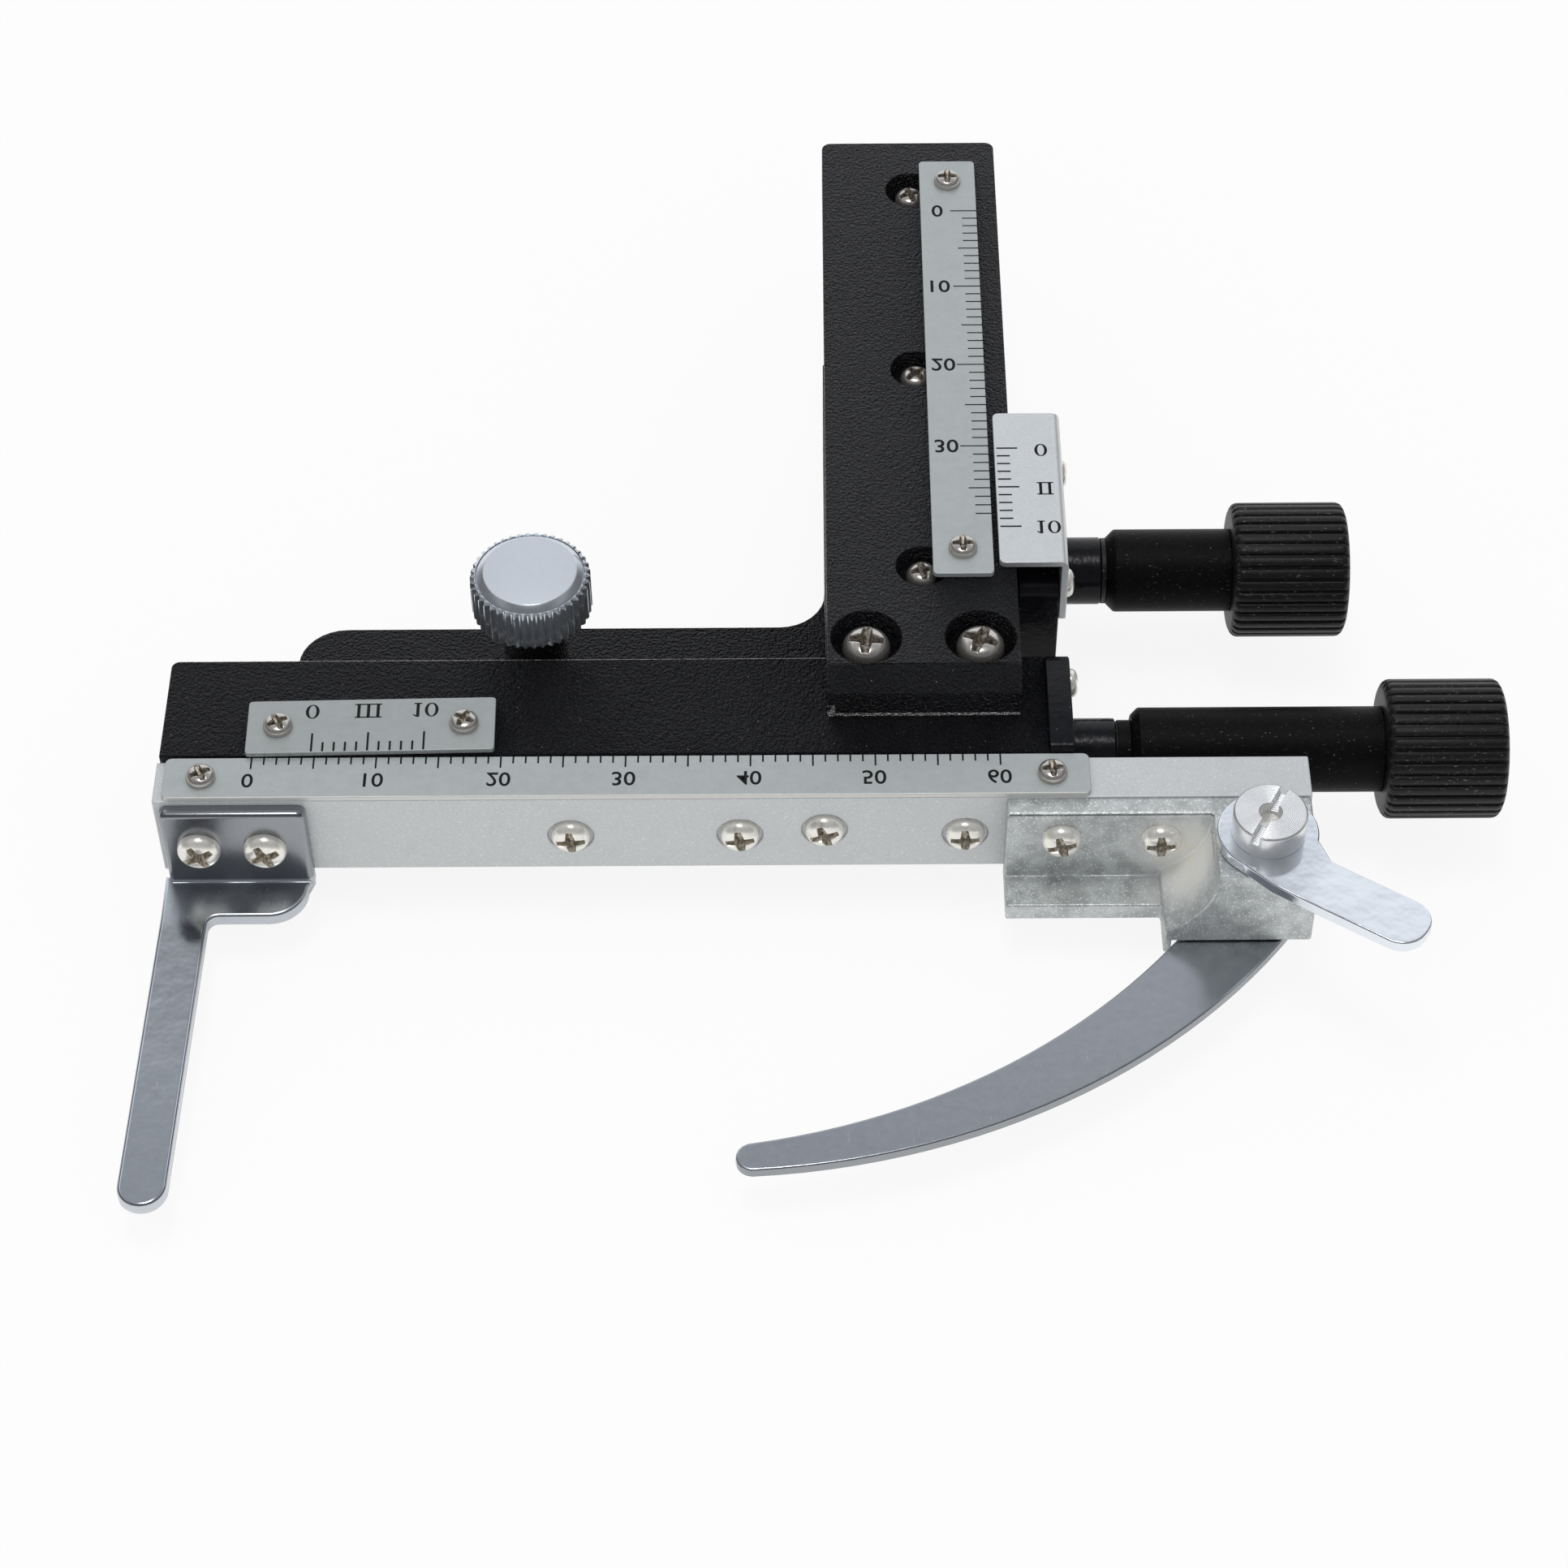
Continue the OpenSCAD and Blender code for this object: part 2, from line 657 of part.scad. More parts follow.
module thumb_screw() {
    step = 360 / thumb_teeth;
    crest = thumb_d / 2;
    tooth = crest * 0.06;
    edge = (thumb_d - thumb_flat_d) / 2;
    color(chrome) union() {
        translate([0, 0, boss_top + thumb_gap]) intersection() {
            linear_extrude(thumb_h)
                polygon([for (i = [0:thumb_teeth - 1])
                    for (p = [[0, crest - tooth], [0.4, crest], [0.6, crest]])
                        [p[1] * cos((i + p[0]) * step), p[1] * sin((i + p[0]) * step)]]);
            rotate_extrude($fn = round_fn)
                polygon([[0, 0], [crest - tooth, 0], [crest + tooth, 2 * tooth],
                    [crest + tooth, thumb_h - edge * 0.6], [thumb_flat_d / 2, thumb_h - edge * 0.08],
                    [thumb_flat_d / 2 - edge * 0.08, thumb_h], [0, thumb_h]]);
        }
        translate([0, 0, -thread_out]) cylinder(d = thread_d, h = thread_out, $fn = round_fn);
        // Relieved neck that keeps the screw in the boss
        translate([0, 0, -cut])
            cylinder(d = neck_d, h = cut + boss_top + thumb_gap + thumb_h / 2, $fn = round_fn);
    }
}

// Places of the three rail screws at their seats in the column
module y_rail_screw_places() {
    for (i = [0:2])
        translate([y_rail_x, first_rail_screw_y + i * rail_screw_pitch, col_top - rail_cbore_depth])
            children();
}

// Row of the joining screws, in the solid wall behind the lead screw
join_screw_in = 1.85;
join_screw_y = body_back_y - join_screw_in;

// Places of the two joining screws at their seats in the column
module column_screw_places() {
    for (s = [-1, 1])
        translate([col_x + s * join_pitch / 2, join_screw_y, col_top - join_cbore_depth]) children();
}

y_scale_shift = 3.45;
y_scale_x = col_x + y_scale_shift;
y_scale_in = 1;
y_scale_y = first_rail_screw_y + rail_screw_pitch + y_scale_in;
y_scale_screw_inset = 2.85;

// Places of the two scale screws on the column
module y_scale_screw_places() {
    for (s = [-1, 1])
        translate([y_scale_x, y_scale_y + s * (y_scale_len / 2 - y_scale_screw_inset), col_top])
            children();
}

// Places of the two rack screws, seats facing down
module rack_screw_places() {
    for (y = [rack_front_y + rack_screw_inset, col_back_y - 1.8 - rack_screw_inset])
        translate([(rack_left_x + rack_right_x) / 2, y, col_bottom - 1.2]) rotate([180, 0, 0]) children();
}

module y_cover() {
    r = col_corner_r;
    color(black_paint) difference() {
        translate([0, 0, col_bottom]) linear_extrude(col_t)
            polygon(concat([[col_left_x, col_front_y], [col_right_x, col_front_y]],
                arc([col_right_x - r, col_back_y - r], r, 0, 90, 5),
                arc([col_left_x + r, col_back_y - r], r, 90, 180, 5)));
        // Front chamfer
        translate([col_left_x - cut, col_front_y, col_top]) rotate([90, 0, 90])
            linear_extrude(col_w + 2 * cut)
                polygon([[-cut, -col_chamfer - cut], [col_chamfer + cut, cut], [-cut, cut]]);
        y_rail_screw_places() {
            shank_bore(bar_shank_d, col_t);
            cylinder(d = rail_cbore_d, h = col_t, $fn = round_fn);
        }
        column_screw_places() {
            shank_bore(bar_shank_d, col_t);
            cylinder(d = join_cbore_d, h = col_t, $fn = round_fn);
        }
        y_scale_screw_places() shank_bore(small_shank_d, col_t / 2);
        rack_screw_places() shank_bore(small_shank_d, col_t * 0.7);
    }
}

module y_rail() {
    color(steel) difference() {
        translate([y_rail_x, y_rail_front_y, col_bottom - y_rail_h])
            rotate([90, 0, 180])
                dovetail(y_rail_top_w, y_rail_bottom_w, y_rail_h, y_rail_len);
        y_rail_screw_places() shank_bore(bar_shank_d, rail_screw_l + pass_gap);
    }
}

module y_rack() {
    half = tooth_pitch / 4 - backlash / 2;
    slope = tan(pressure_angle);
    pitch_z = pinion_z + pitch_r;
    tip = pitch_z - rack_addendum;
    root = pitch_z + rack_dedendum;
    first = floor((pinion_y - rack_front_y - 3.4) / tooth_pitch);
    last = floor((rack_front_y + y_rail_len - pinion_y - 3.4) / tooth_pitch);
    color(steel) difference() {
        translate([rack_left_x, 0, 0]) rotate([90, 0, 90])
            linear_extrude(rack_w)
                polygon(concat([[rack_front_y, col_bottom], [rack_front_y, root]],
                    [for (i = [-first:last - 1]) let (y = pinion_y + (i + 0.5) * tooth_pitch)
                        for (p = [[-half - rack_dedendum * slope, root], [-half + rack_addendum * slope, tip],
                            [half - rack_addendum * slope, tip], [half + rack_dedendum * slope, root]])
                            [y + p[0], p[1]]],
                    [[rack_front_y + y_rail_len, root], [rack_front_y + y_rail_len, col_bottom]]));
        rack_screw_places() {
            shank_bore(small_shank_d, col_t);
            cylinder(d = small_head_d + 2 * fit_gap, h = col_t, $fn = small_fn);
        }
    }
}

module rack_screws() {
    color(steel) rack_screw_places() {
        cylinder(d = small_head_d, h = small_head_h * 0.55, $fn = small_fn);
        translate([0, 0, -col_t * 0.65]) cylinder(d = small_shank_d, h = col_t * 0.65, $fn = small_fn);
    }
}

module y_rail_screws() {
    color(steel) y_rail_screw_places()
        pan_screw(rail_head_d, bar_head_h, bar_shank_d, rail_screw_l);
}

module y_scale_plate() {
    color(scale_grey) difference() {
        translate([y_scale_x, y_scale_y, col_top]) plate(y_scale_w, y_scale_len, scale_t, 0.4);
        y_scale_screw_places() translate([0, 0, scale_t]) shank_bore(small_shank_d, col_t / 2);
    }
}

module y_scale_screws() {
    color(steel) y_scale_screw_places() translate([0, 0, scale_t])
        pan_screw(small_head_d, small_head_h, small_shank_d, scale_t + col_t * 0.45);
}

module column_screws() {
    color(steel) column_screw_places()
        pan_screw(join_head_d, bar_head_h * 1.35, bar_shank_d, col_t - join_cbore_depth + body_h * 0.6);
}

x_vernier_in = 16.9;
tunnel_roof = 1.4;
vernier_tip_gap = 0.2;
x_vernier_x = body_left_x + x_vernier_in;
x_vernier_up = 2.85;
x_vernier_y = body_front_y + x_vernier_up;
x_vernier_screw_pitch = 15;

// Frame of the vernier plate on the cross body, slightly askew
module x_vernier_frame() {
    translate([x_vernier_x, x_vernier_y, body_top]) rotate([0, 0, x_vernier_turn]) children();
}

module x_vernier_screw_places() {
    x_vernier_frame() for (s = [-1, 1]) translate([s * x_vernier_screw_pitch / 2, 0, 0]) children();
}

// Heights of the end plate screws as shares of the body height
end_screw_shares = [0.2, 0.84];

// Places of the two end plate screws, seats facing +X
module x_end_screw_places() {
    for (share = end_screw_shares)
        translate([end_plate_right_x, body_back_y - 1.75, body_bottom + body_h * share])
            rotate([0, 90, 0]) children();
}

module x_body() {
    tunnel_top = body_top - tunnel_roof;
    color(black_paint) difference() {
        translate([body_left_x, body_front_y, body_bottom]) cube([body_len, body_d, body_h]);
        // Rounded rear corner at the left end
        translate([body_left_x + body_corner_r, body_back_y - body_corner_r, body_bottom - cut])
            difference() {
                translate([-body_corner_r - cut, 0, 0])
                    cube([body_corner_r + cut, body_corner_r + cut, body_h + 2 * cut]);
                cylinder(r = body_corner_r, h = body_h + 2 * cut, $fn = round_fn);
            }
        // Dovetail groove along the front
        translate([body_left_x - cut, body_front_y + x_rail_d + slide_gap - bar_gap, rail_z])
            rotate([90, 0, 90]) rotate([0, 0, 90])
                dovetail(x_rail_narrow + 2 * slide_gap, groove_h, x_rail_d + slide_gap,
                    body_len + 2 * cut);
        // Tunnel of the nut and the lead screw
        translate([tunnel_left_x, body_front_y + x_rail_d - slide_gap, rail_z - groove_h / 2])
            cube([body_len, nut_back_y + pass_gap - body_front_y - x_rail_d + slide_gap,
                tunnel_top - rail_z + groove_h / 2]);
        // Pilot of the lead screw in the left wall
        along_x(body_left_x + tunnel_wall * 0.3, lead_y, lead_z, shaft_d * 0.6 + 2 * run_gap, tunnel_wall);
        column_screw_places()
            translate([0, 0, join_cbore_depth - col_t]) shank_bore(bar_shank_d, body_h * 0.7);
        x_vernier_screw_places() shank_bore(small_shank_d, tunnel_roof + cut);
        x_end_screw_places() shank_bore(small_shank_d, end_plate_t + small_shank_d * 3);
    }
}

module x_vernier_plate() {
    color(scale_grey) difference() {
        x_vernier_frame() plate(x_vernier_len, x_vernier_w, scale_t, 0.3);
        x_vernier_screw_places() translate([0, 0, scale_t]) shank_bore(small_shank_d, 2 * scale_t);
    }
}

module x_vernier_screws() {
    color(steel) x_vernier_screw_places() translate([0, 0, scale_t])
        pan_screw(small_head_d, small_head_h, small_shank_d, scale_t + tunnel_roof - vernier_tip_gap);
}

module x_end_plate() {
    r = 1.2;
    end_margin = 0.15;
    back = body_back_y + end_margin;
    end_rise = 0.5;
    top = body_top + end_rise;
    color(gloss_black) difference() {
        translate([body_right_x, 0, 0]) rotate([90, 0, 90]) linear_extrude(end_plate_t)
            polygon(concat([[body_front_y, body_bottom], [back, body_bottom]],
                arc([back - r, top - r], r, 0, 90, 6),
                arc([body_front_y + r / 2, top - r / 2], r / 2, 90, 180, 4)));
        along_x(body_right_x - cut, lead_y, lead_z, x_bush_d, end_plate_t + 2 * cut);
        x_end_screw_places() shank_bore(small_shank_d, end_plate_t + cut);
    }
}

module x_end_screws() {
    color(steel) x_end_screw_places()
        pan_screw(small_head_d, small_head_h, small_shank_d, end_plate_t + small_shank_d * 2.6);
}

module x_bush() {
    color(gloss_black) difference() {
        along_x(body_right_x, lead_y, lead_z, x_bush_d, x_bush_right_x - body_right_x);
        along_x(body_right_x - cut, lead_y, lead_z, shaft_d + 2 * run_gap,
            x_bush_right_x - body_right_x + 2 * cut);
    }
}

module y_shaft() {
    shaft_end_x = y_knob_left_x + knob_len * 0.6;
    color(steel) along_x(pinion_left_x, pinion_y, pinion_z, shaft_d, shaft_end_x - pinion_left_x);
}

// Pinion with involute teeth, one tooth up, pressed on the end of the shaft
module y_pinion() {
    base_r = pitch_r * cos(pressure_angle);
    tip_r = pitch_r + pinion_addendum;
    root_r = pitch_r - pinion_dedendum;
    tip_t = sqrt(pow(tip_r / base_r, 2) - 1) * 180 / PI;
    inv = tan(pressure_angle) * 180 / PI - pressure_angle;
    half = 90 / pinion_teeth - backlash / 2 / pitch_r * 180 / PI + inv;
    flank = [for (i = [0:5]) involute(base_r, tip_t * i / 5, -half)];
    tooth = concat([[root_r * cos(half), -root_r * sin(half)]], flank,
        [for (i = [5:-1:0]) [flank[i][0], -flank[i][1]]], [[root_r * cos(half), root_r * sin(half)]]);
    color(brass) translate([pinion_left_x, pinion_y, pinion_z]) rotate([90, 0, 90])
        linear_extrude(pinion_w) difference() {
            polygon([for (i = [0:pinion_teeth - 1]) let (a = 90 + i * 360 / pinion_teeth)
                for (p = tooth) [p[0] * cos(a) - p[1] * sin(a), p[0] * sin(a) + p[1] * cos(a)]]);
            circle(d = shaft_d + 2 * fit_gap, $fn = round_fn);
        }
}

module y_sleeve() {
    color(black_plastic) sleeve(y_sleeve_left_x, pinion_y, pinion_z, y_sleeve_len, 0.8);
}

module y_knob() {
    color(black_plastic) knob(y_knob_left_x, pinion_y, pinion_z, shaft_d + 2 * fit_gap);
}

// Lead screw: multi-start thread in the tunnel, plain shaft to the right
module x_lead_screw() {
    thread_end = 3.2;
    thread_l = body_right_x - tunnel_left_x - thread_end;
    root = lead_d / 2 * 0.86;
    color(brass) union() {
        translate([tunnel_left_x + 0.2, lead_y, lead_z]) rotate([0, 90, 0])
            linear_extrude(thread_l, twist = -360 * thread_l / lead, slices = 90)
                polygon([for (i = [0:starts * 6 - 1])
                    let (a = i * 60 / starts, r = i % 6 < 3 ? lead_d / 2 : root) [r * cos(a), r * sin(a)]]);
        along_x(body_left_x + tunnel_wall * 0.4, lead_y, lead_z, shaft_d * 0.6,
            tunnel_wall);
        along_x(tunnel_left_x + thread_l - 0.2, lead_y, lead_z, shaft_d,
            x_knob_left_x + knob_len * 0.6 - tunnel_left_x - thread_l + 0.2);
    }
}

module x_collar() {
    color(black_plastic) difference() {
        along_x(x_collar_left_x, lead_y, lead_z, x_bush_d * 0.94, x_sleeve_left_x - x_collar_left_x);
        along_x(x_collar_left_x - cut, lead_y, lead_z, shaft_d + 2 * fit_gap, 2 * cut + knob_len);
    }
}

module x_sleeve() {
    color(black_plastic) sleeve(x_sleeve_left_x, lead_y, lead_z, x_sleeve_len, 0.6);
}

module x_knob() {
    color(black_plastic) knob(x_knob_left_x, lead_y, lead_z, shaft_d + 2 * fit_gap);
}

// Places of the bar's front screws, seats facing -Y in the recesses
module bar_screw_places() {
    for (x = bar_screw_xs)
        translate([x, bar_front_y + bar_recess_depth, bar_screw_z]) rotate([90, 0, 0]) children();
    translate([nut_x, bar_front_y + bar_recess_depth, lead_z]) rotate([90, 0, 0]) children();
}

x_scale_x = bar_left_x + 0.8 + x_scale_len / 2;
x_scale_y = bar_front_y + x_scale_w / 2;
x_scale_screw_inset = 3;

module x_scale_screw_places() {
    for (s = [-1, 1])
        translate([x_scale_x + s * (x_scale_len / 2 - x_scale_screw_inset), x_scale_y, bar_top]) children();
}

finger_screw_spacing = 5.3;

module finger_screw_places() {
    for (s = [-1, 1])
        translate([finger_flange_x + flange_w / 2 + s * finger_screw_spacing / 2 - 0.3, finger_front_y,
            finger_screw_z]) rotate([90, 0, 0]) children();
}

bracket_screw_xs = [4.4, 12.3];

module bracket_screw_places() {
    for (x = bracket_screw_xs)
        translate([bracket_left_x + x, bracket_front_y, bracket_top - 2.8]) rotate([90, 0, 0]) children();
}

module slide_bar() {
    color(silver_paint) difference() {
        translate([bar_left_x, bar_front_y, bar_lift]) cube([bar_len, bar_d, bar_h]);
        bar_screw_places() {
            shank_bore(bar_shank_d, bar_d);
            cylinder(d = bar_recess_d, h = cut, $fn = small_fn);
        }
        x_scale_screw_places() shank_bore(small_shank_d, bar_d / 2);
        finger_screw_places() shank_bore(bar_shank_d, finger_t + bar_d * 0.8);
        bracket_screw_places() shank_bore(bar_shank_d, bracket_t + bar_d * 0.8);
    }
}

module x_rail() {
    wide = groove_h - 2 * slide_gap;
    color(steel) difference() {
        translate([x_rail_left_x, bar_back_y + x_rail_d, rail_z]) rotate([90, 0, 90])
            rotate([0, 0, 90]) dovetail(x_rail_narrow, wide, x_rail_d, x_rail_len);
        bar_screw_places() shank_bore(bar_shank_d, bar_d + x_rail_d);
    }
}

module x_nut() {
    color(brass) difference() {
        translate([nut_x - nut_len / 2, nut_front_y, lead_z - nut_h / 2])
            cube([nut_len, nut_back_y - nut_front_y, nut_h]);
        along_x(nut_x - nut_len, lead_y, lead_z, lead_d + 2 * run_gap, 2 * nut_len);
        bar_screw_places() shank_bore(bar_shank_d, bar_d - bar_recess_depth + x_rail_d + nut_len / 4);
    }
}

module bar_screws() {
    color(steel) {
        for (x = bar_screw_xs)
            translate([x, bar_front_y + bar_recess_depth, bar_screw_z]) rotate([90, 0, 0])
                pan_screw(bar_head_d, bar_head_h, bar_shank_d, bar_d - bar_recess_depth + x_rail_d * 0.9);
        translate([nut_x, bar_front_y + bar_recess_depth, lead_z]) rotate([90, 0, 0])
            pan_screw(bar_head_d, bar_head_h, bar_shank_d, bar_d - bar_recess_depth + x_rail_d + 0.7);
    }
}

module x_scale_plate() {
    color(scale_grey) difference() {
        translate([x_scale_x, x_scale_y, bar_top]) plate(x_scale_len, x_scale_w, scale_t, 0.5);
        x_scale_screw_places() translate([0, 0, scale_t]) shank_bore(small_shank_d, 2 * scale_t);
    }
}

module x_scale_screws() {
    color(steel) x_scale_screw_places() translate([0, 0, scale_t])
        pan_screw(small_head_d, small_head_h, small_shank_d, scale_t + bar_d * 0.45);
}

// Stamped finger: upright flange, shelf and long finger in one sheet
module fixed_finger() {
    bend_r = 0.6;
    shelf_r = 3;
    tip_r = finger_w / 2;
    shelf_front_y = finger_front_y - shelf_depth;
    reach_y = bar_front_y - finger_reach;
    flange_drop = 0.4;
    top = bar_top - flange_drop;
    shelf_out = 0.4;
    shelf_left = finger_flange_x - shelf_out;
    lean = tan(finger_lean);
    base_x = shelf_left + finger_w;
    tip_x = base_x - tip_r - lean * (shelf_front_y - reach_y);
    shelf_in = 0.45;
    shelf_right = finger_flange_x + flange_w - shelf_in;
    color(chrome) difference() {
        union() {
            // Flange against the bar
            translate([finger_flange_x, finger_front_y, shelf_bottom])
                cube([flange_w, finger_t, top - shelf_bottom]);
            // Fillet of the bend
            translate([finger_flange_x, finger_front_y, shelf_top]) rotate([90, 0, 90])
                linear_extrude(flange_w)
                    polygon(concat([[0, 0]], arc([-bend_r, bend_r], bend_r, 0, -90, 5)));
            // Shelf and finger
            translate([0, 0, shelf_bottom]) linear_extrude(shelf_top - shelf_bottom)
                polygon(concat(
                    [[shelf_left, finger_front_y + finger_t / 2],
                        [finger_flange_x + flange_w, finger_front_y + finger_t / 2]],
                    arc([shelf_right - shelf_r, shelf_front_y + shelf_r], shelf_r, 0, -90, 6),
                    [[base_x + 0.6, shelf_front_y], [base_x - lean, shelf_front_y - 0.6]],
                    arc([tip_x, reach_y + tip_r], tip_r, 0, -180, 12)));
        }
        finger_screw_places() shank_bore(bar_shank_d, finger_t + cut);
    }
}

module finger_screws() {
    color(steel) finger_screw_places()
        pan_screw(finger_head_d, bar_head_h, bar_shank_d, finger_t + bar_d * 0.75);
}

// Cast bracket: flange and foot, boss with a curved wall, slot for the arm under the boss
module clamp_bracket() {
    wall_z = foot_top + wall_r;
    wall_x = boss_left_x - wall_r;
    bevel = 0.25;
    color(zinc) difference() {
        union() {
            translate([bracket_left_x, bracket_front_y, foot_bottom])
                cube([bracket_len, bracket_t, bracket_top - foot_bottom]);
            translate([bracket_left_x, bracket_front_y - foot_depth, foot_bottom])
                cube([leg_x + leg_t - bracket_left_x, foot_depth + bracket_t, foot_top - foot_bottom]);
            difference() {
                translate([leg_x, boss_front_y, leg_bottom])
                    cube([bracket_right_x - leg_x, bar_front_y - boss_front_y, bracket_top - leg_bottom]);
                // Curved wall swept from front to back
                translate([wall_x, bracket_front_y, wall_z]) rotate([90, 0, 0])
                    cylinder(r = wall_r, h = boss_depth, $fn = round_fn);
                translate([wall_x - wall_r, boss_front_y - cut, wall_z])
                    cube([2 * wall_r, bracket_front_y - boss_front_y + cut, boss_depth * 2]);
            }
        }
        // Room for the arm, open to the front, right and below
        translate([leg_x + leg_t, boss_front_y - cut, leg_bottom - cut])
            cube([bracket_len, bar_front_y - boss_front_y + 2 * cut, slot_top - leg_bottom + cut]);
        // Bore of the pivot and pocket of the spring
        translate([pivot_x, pivot_y, 0]) {
            cylinder(d = pivot_d + 2 * run_gap, h = bracket_top + cut, $fn = round_fn);
            translate([0, 0, slot_top - cut])
                cylinder(r = spring_pocket_r, h = spring_h + 0.3 + cut, $fn = round_fn);
        }
        bracket_screw_places() shank_bore(bar_shank_d, bracket_t + cut);
        // Bevel along the top front edge
        translate([bracket_left_x - cut, bracket_front_y, bracket_top]) rotate([90, 0, 90])
            linear_extrude(boss_left_x - bracket_left_x + cut)
                polygon([[-cut, -bevel - cut], [bevel + cut, cut], [-cut, cut]]);
    }
}

module bracket_screws() {
    color(steel) bracket_screw_places()
        pan_screw(bar_head_d, bar_head_h, bar_shank_d, bracket_t + bar_d * 0.75);
}

// Coil of the torsion spring round the pivot: one tube swept along a helix
module torsion_spring() {
    sides = 6;
    per_turn = 20;
    rings = spring_turns * per_turn;
    rise = (spring_h - 2 * spring_wire) / spring_turns;
    points = [for (i = [0:rings]) let (a = 360 * i / per_turn, z = rise * i / per_turn)
        for (j = [0:sides - 1]) let (b = 360 * j / sides, r = spring_r + spring_wire / 2 * cos(b))
            [r * cos(a), r * sin(a), z + spring_wire / 2 * sin(b)]];
    ring_faces = [for (i = [0:rings - 1]) for (j = [0:sides - 1])
        let (k = (j + 1) % sides, p = i * sides, q = p + sides)
        for (f = [[p + j, q + j, q + k], [p + j, q + k, p + k]]) f];
    caps = [[for (j = [0:sides - 1]) j], [for (j = [sides - 1:-1:0]) rings * sides + j]];
    color(steel) translate([pivot_x, pivot_y, slot_top + 2 * spring_wire])
        polyhedron(points, concat(ring_faces, caps));
}

// Curved clamp arm under the boss, a crescent between two arcs with an eye and a round tip
module clamp_arm() {
    pivot = [pivot_x, pivot_y];
    oc = centre_by(pivot, arm_outer_r - eye_r, arm_tip, arm_outer_r - arm_tip_r);
    ic = centre_by(pivot, arm_inner_r + eye_r, arm_tip, arm_inner_r + arm_tip_r);
    outer_start = atan2(pivot_y - oc[1], pivot_x - oc[0]);
    inner_start = atan2(pivot_y - ic[1], pivot_x - ic[0]);
    outer_end = atan2(arm_tip[1] - oc[1], arm_tip[0] - oc[0]);
    inner_end = atan2(arm_tip[1] - ic[1], arm_tip[0] - ic[0]);
    color(chrome) translate([0, 0, arm_bottom]) difference() {
        union() {
            linear_extrude(arm_t)
                polygon(concat(arc(oc, arm_outer_r, outer_start, outer_end, 26),
                    arc(arm_tip, arm_tip_r, outer_end + 360 - 9, inner_end + 180 + 9, 8),
                    arc(ic, arm_inner_r, inner_end, inner_start, 26)));
            translate([pivot_x, pivot_y, 0]) cylinder(r = eye_r, h = arm_t, $fn = round_fn);
        }
        translate([pivot_x, pivot_y, -cut]) cylinder(d = pivot_d, h = arm_t + 2 * cut, $fn = round_fn);
    }
}

module pivot_shaft() {
    color(steel) translate([pivot_x, pivot_y, arm_bottom])
        cylinder(d = pivot_d, h = lever_top + head_h / 2 - arm_bottom, $fn = round_fn);
}

// Thumb lever: ring round the pivot and a paddle set to one side
module thumb_lever() {
    ring_r = 4;
    turn = -35;
    offset_r = 2.2;
    tip_r = 2.1;
    color(chrome) translate([pivot_x, pivot_y, lever_bottom]) difference() {
        union() {
            cylinder(r = ring_r, h = lever_t, $fn = round_fn);
            rotate([0, 0, turn]) translate([0, -offset_r - lever_w / 2, 0]) linear_extrude(lever_t)
                polygon(concat([[0, offset_r + lever_w / 2 - ring_r], [ring_r * 0.75, 0]],
                    arc([lever_reach - tip_r, tip_r], tip_r, 270, 360, 6),
                    arc([lever_reach - tip_r, lever_w - tip_r], tip_r, 0, 90, 6),
                    arc([ring_r * 1.5, lever_w + ring_r * 0.3], ring_r * 0.3, 270, 225, 3),
                    [[ring_r * 0.75, lever_w + ring_r * 0.45], [0, lever_w + ring_r * 0.2]]));
        }
        translate([0, 0, -cut]) cylinder(d = pivot_d + 2 * fit_gap, h = lever_t + 2 * cut, $fn = round_fn);
    }
}

// Slotted round head that locks the lever on the pivot
module pivot_nut() {
    hole_d = 1.8;
    slot_w = 0.65;
    color(aluminium) translate([pivot_x, pivot_y, lever_top]) difference() {
        rotate_extrude($fn = round_fn)
            polygon([[0, 0], [head_d / 2, 0], [head_d / 2, head_h - 0.15], [head_d / 2 - 0.15, head_h],
                [0, head_h]]);
        translate([0, 0, -cut]) cylinder(d = pivot_d + 2 * fit_gap, h = head_h / 2 + cut, $fn = round_fn);
        cylinder(d = hole_d, h = head_h + cut, $fn = small_fn);
        rotate([0, 0, 62]) translate([-head_d, -slot_w / 2, head_h * 0.6]) cube([2 * head_d, slot_w, head_h]);
    }
}

base_plate();
locating_pins();
y_bearing_block();
bearing_screws();
y_bush();
y_vernier_plate();
y_vernier_screws();
thumb_screw();
y_cover();
y_rail();
y_rack();
rack_screws();
y_rail_screws();
y_scale_plate();
y_scale_screws();
column_screws();
x_body();
x_vernier_plate();
x_vernier_screws();
x_end_plate();
x_end_screws();
x_bush();
y_shaft();
y_pinion();
y_sleeve();
y_knob();
x_lead_screw();
x_collar();
x_sleeve();
x_knob();
slide_bar();
x_rail();
x_nut();
bar_screws();
x_scale_plate();
x_scale_screws();
fixed_finger();
finger_screws();
clamp_bracket();
bracket_screws();
torsion_spring();
clamp_arm();
pivot_shaft();
thumb_lever();
pivot_nut();
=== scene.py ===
"""Dress the mechanical microscope stage: finishes, scales, screws, knurls and a plain studio.

Sizes inside the functions are millimetres in the frame of the CAD part, and become metres when a
mesh is made.
"""

